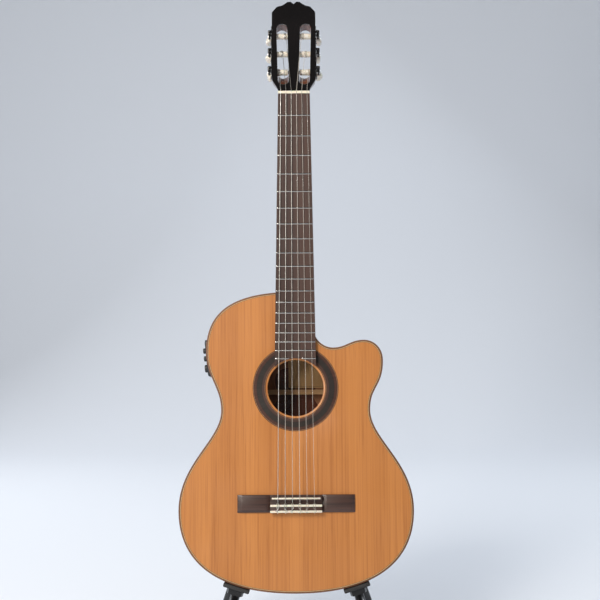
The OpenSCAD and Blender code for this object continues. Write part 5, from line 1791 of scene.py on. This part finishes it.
def makeSweep(s):
    # a floor that curves up behind into a wall on a quarter circle
    a = np.linspace(0, np.pi / 2, 20)
    y = np.concatenate([[-4.0], s["sweepY"] + s["sweepR"] * np.sin(a), [s["sweepY"] + s["sweepR"]]])
    z = np.concatenate([[0.0], s["sweepR"] * (1 - np.cos(a)), [5.0]])
    x = np.array([-5.0, 5.0])
    grid = np.stack([np.broadcast_to(x[None], (len(y), 2)), np.broadcast_to(y[:, None], (len(y), 2)),
                     np.broadcast_to(z[:, None], (len(y), 2))], -1)
    quads = gridQuads(len(y), 2, False, False)[0]
    mesh = bpy.data.meshes.new("studioSweep")
    mesh.from_pydata(grid.reshape(-1, 3).tolist(), [], quads.tolist())
    mesh.polygons.foreach_set("use_smooth", np.ones(len(quads), bool))
    sweep = bpy.data.objects.new("studioSweep", mesh)
    bpy.context.scene.collection.objects.link(sweep)
    paper, tree, shader = finish("studio paper", Roughness=0.85)
    shader.inputs["Base Color"].default_value = s["floor"]
    mesh.materials.append(paper)


makeSweep(studio)
world = bpy.data.worlds.new("studio")
world.use_nodes = True
world.node_tree.nodes["Background"].inputs["Color"].default_value = studio["world"]
# polished surfaces meet a dimmer room than the floor and the wood do, so black stays black
path = node(world.node_tree, "LightPath")
dim = mathNode(world.node_tree, "MULTIPLY", path.outputs["Is Glossy Ray"],
               studio["glossPower"] - studio["worldPower"])
level = mathNode(world.node_tree, "ADD", dim, studio["worldPower"])
wire(world.node_tree, (level, world.node_tree.nodes["Background"].inputs["Strength"]))
bpy.context.scene.world = world


def softLight(name, place, aim, size, power, tint):
    # a round lamp turned from its place towards its aim
    light = bpy.data.lights.new(name, "AREA")
    light.shape = "DISK"
    light.size = size
    light.energy = power
    light.color = tint
    lamp = bpy.data.objects.new(name, light)
    bpy.context.scene.collection.objects.link(lamp)
    away = np.array(place, float) - np.array(aim, float)
    lamp.location = place
    lamp.rotation_euler = (math.atan2(math.hypot(away[0], away[1]), away[2]), 0,
                           math.atan2(away[0], -away[1]))
    return lamp


softLight("key", (-0.9, -1.25, 1.6), (0, 0, 0.62), 0.8, studio["keyPower"], (1.0, 0.96, 0.90))
softLight("side", (-1.0, -1.75, 0.78), (0, 0, 0.45), 0.35, studio["sidePower"], (1.0, 0.93, 0.84))
softLight("fill", (1.9, -1.5, 1.1), (0, 0, 0.5), 1.6, studio["fillPower"], (0.93, 0.96, 1.0))
softLight("rim", (1.2, 1.3, 1.9), (0, 0, 0.6), 1.0, studio["rimPower"], (0.90, 0.95, 1.0))
softLight("back", (-1.4, 1.3, 1.2), (0, 0, 0.5), 1.2, studio["backPower"], (0.95, 0.97, 1.0))

view = dict(place=(0.0085, -1.670, 0.673), down=3.12, roll=0.36, lens=62.94, sensor=36.0)
cameraData = bpy.data.cameras.new("camera")
cameraData.lens = view["lens"]
cameraData.sensor_width = view["sensor"]
cameraData.sensor_fit = "HORIZONTAL"
camera = bpy.data.objects.new("camera", cameraData)
bpy.context.scene.collection.objects.link(camera)
camera.location = view["place"]
camera.rotation_euler = (math.radians(90 - view["down"]), math.radians(view["roll"]), 0)
bpy.context.scene.camera = camera
bpy.context.scene.view_settings.view_transform = "Standard"
print("studio ready")
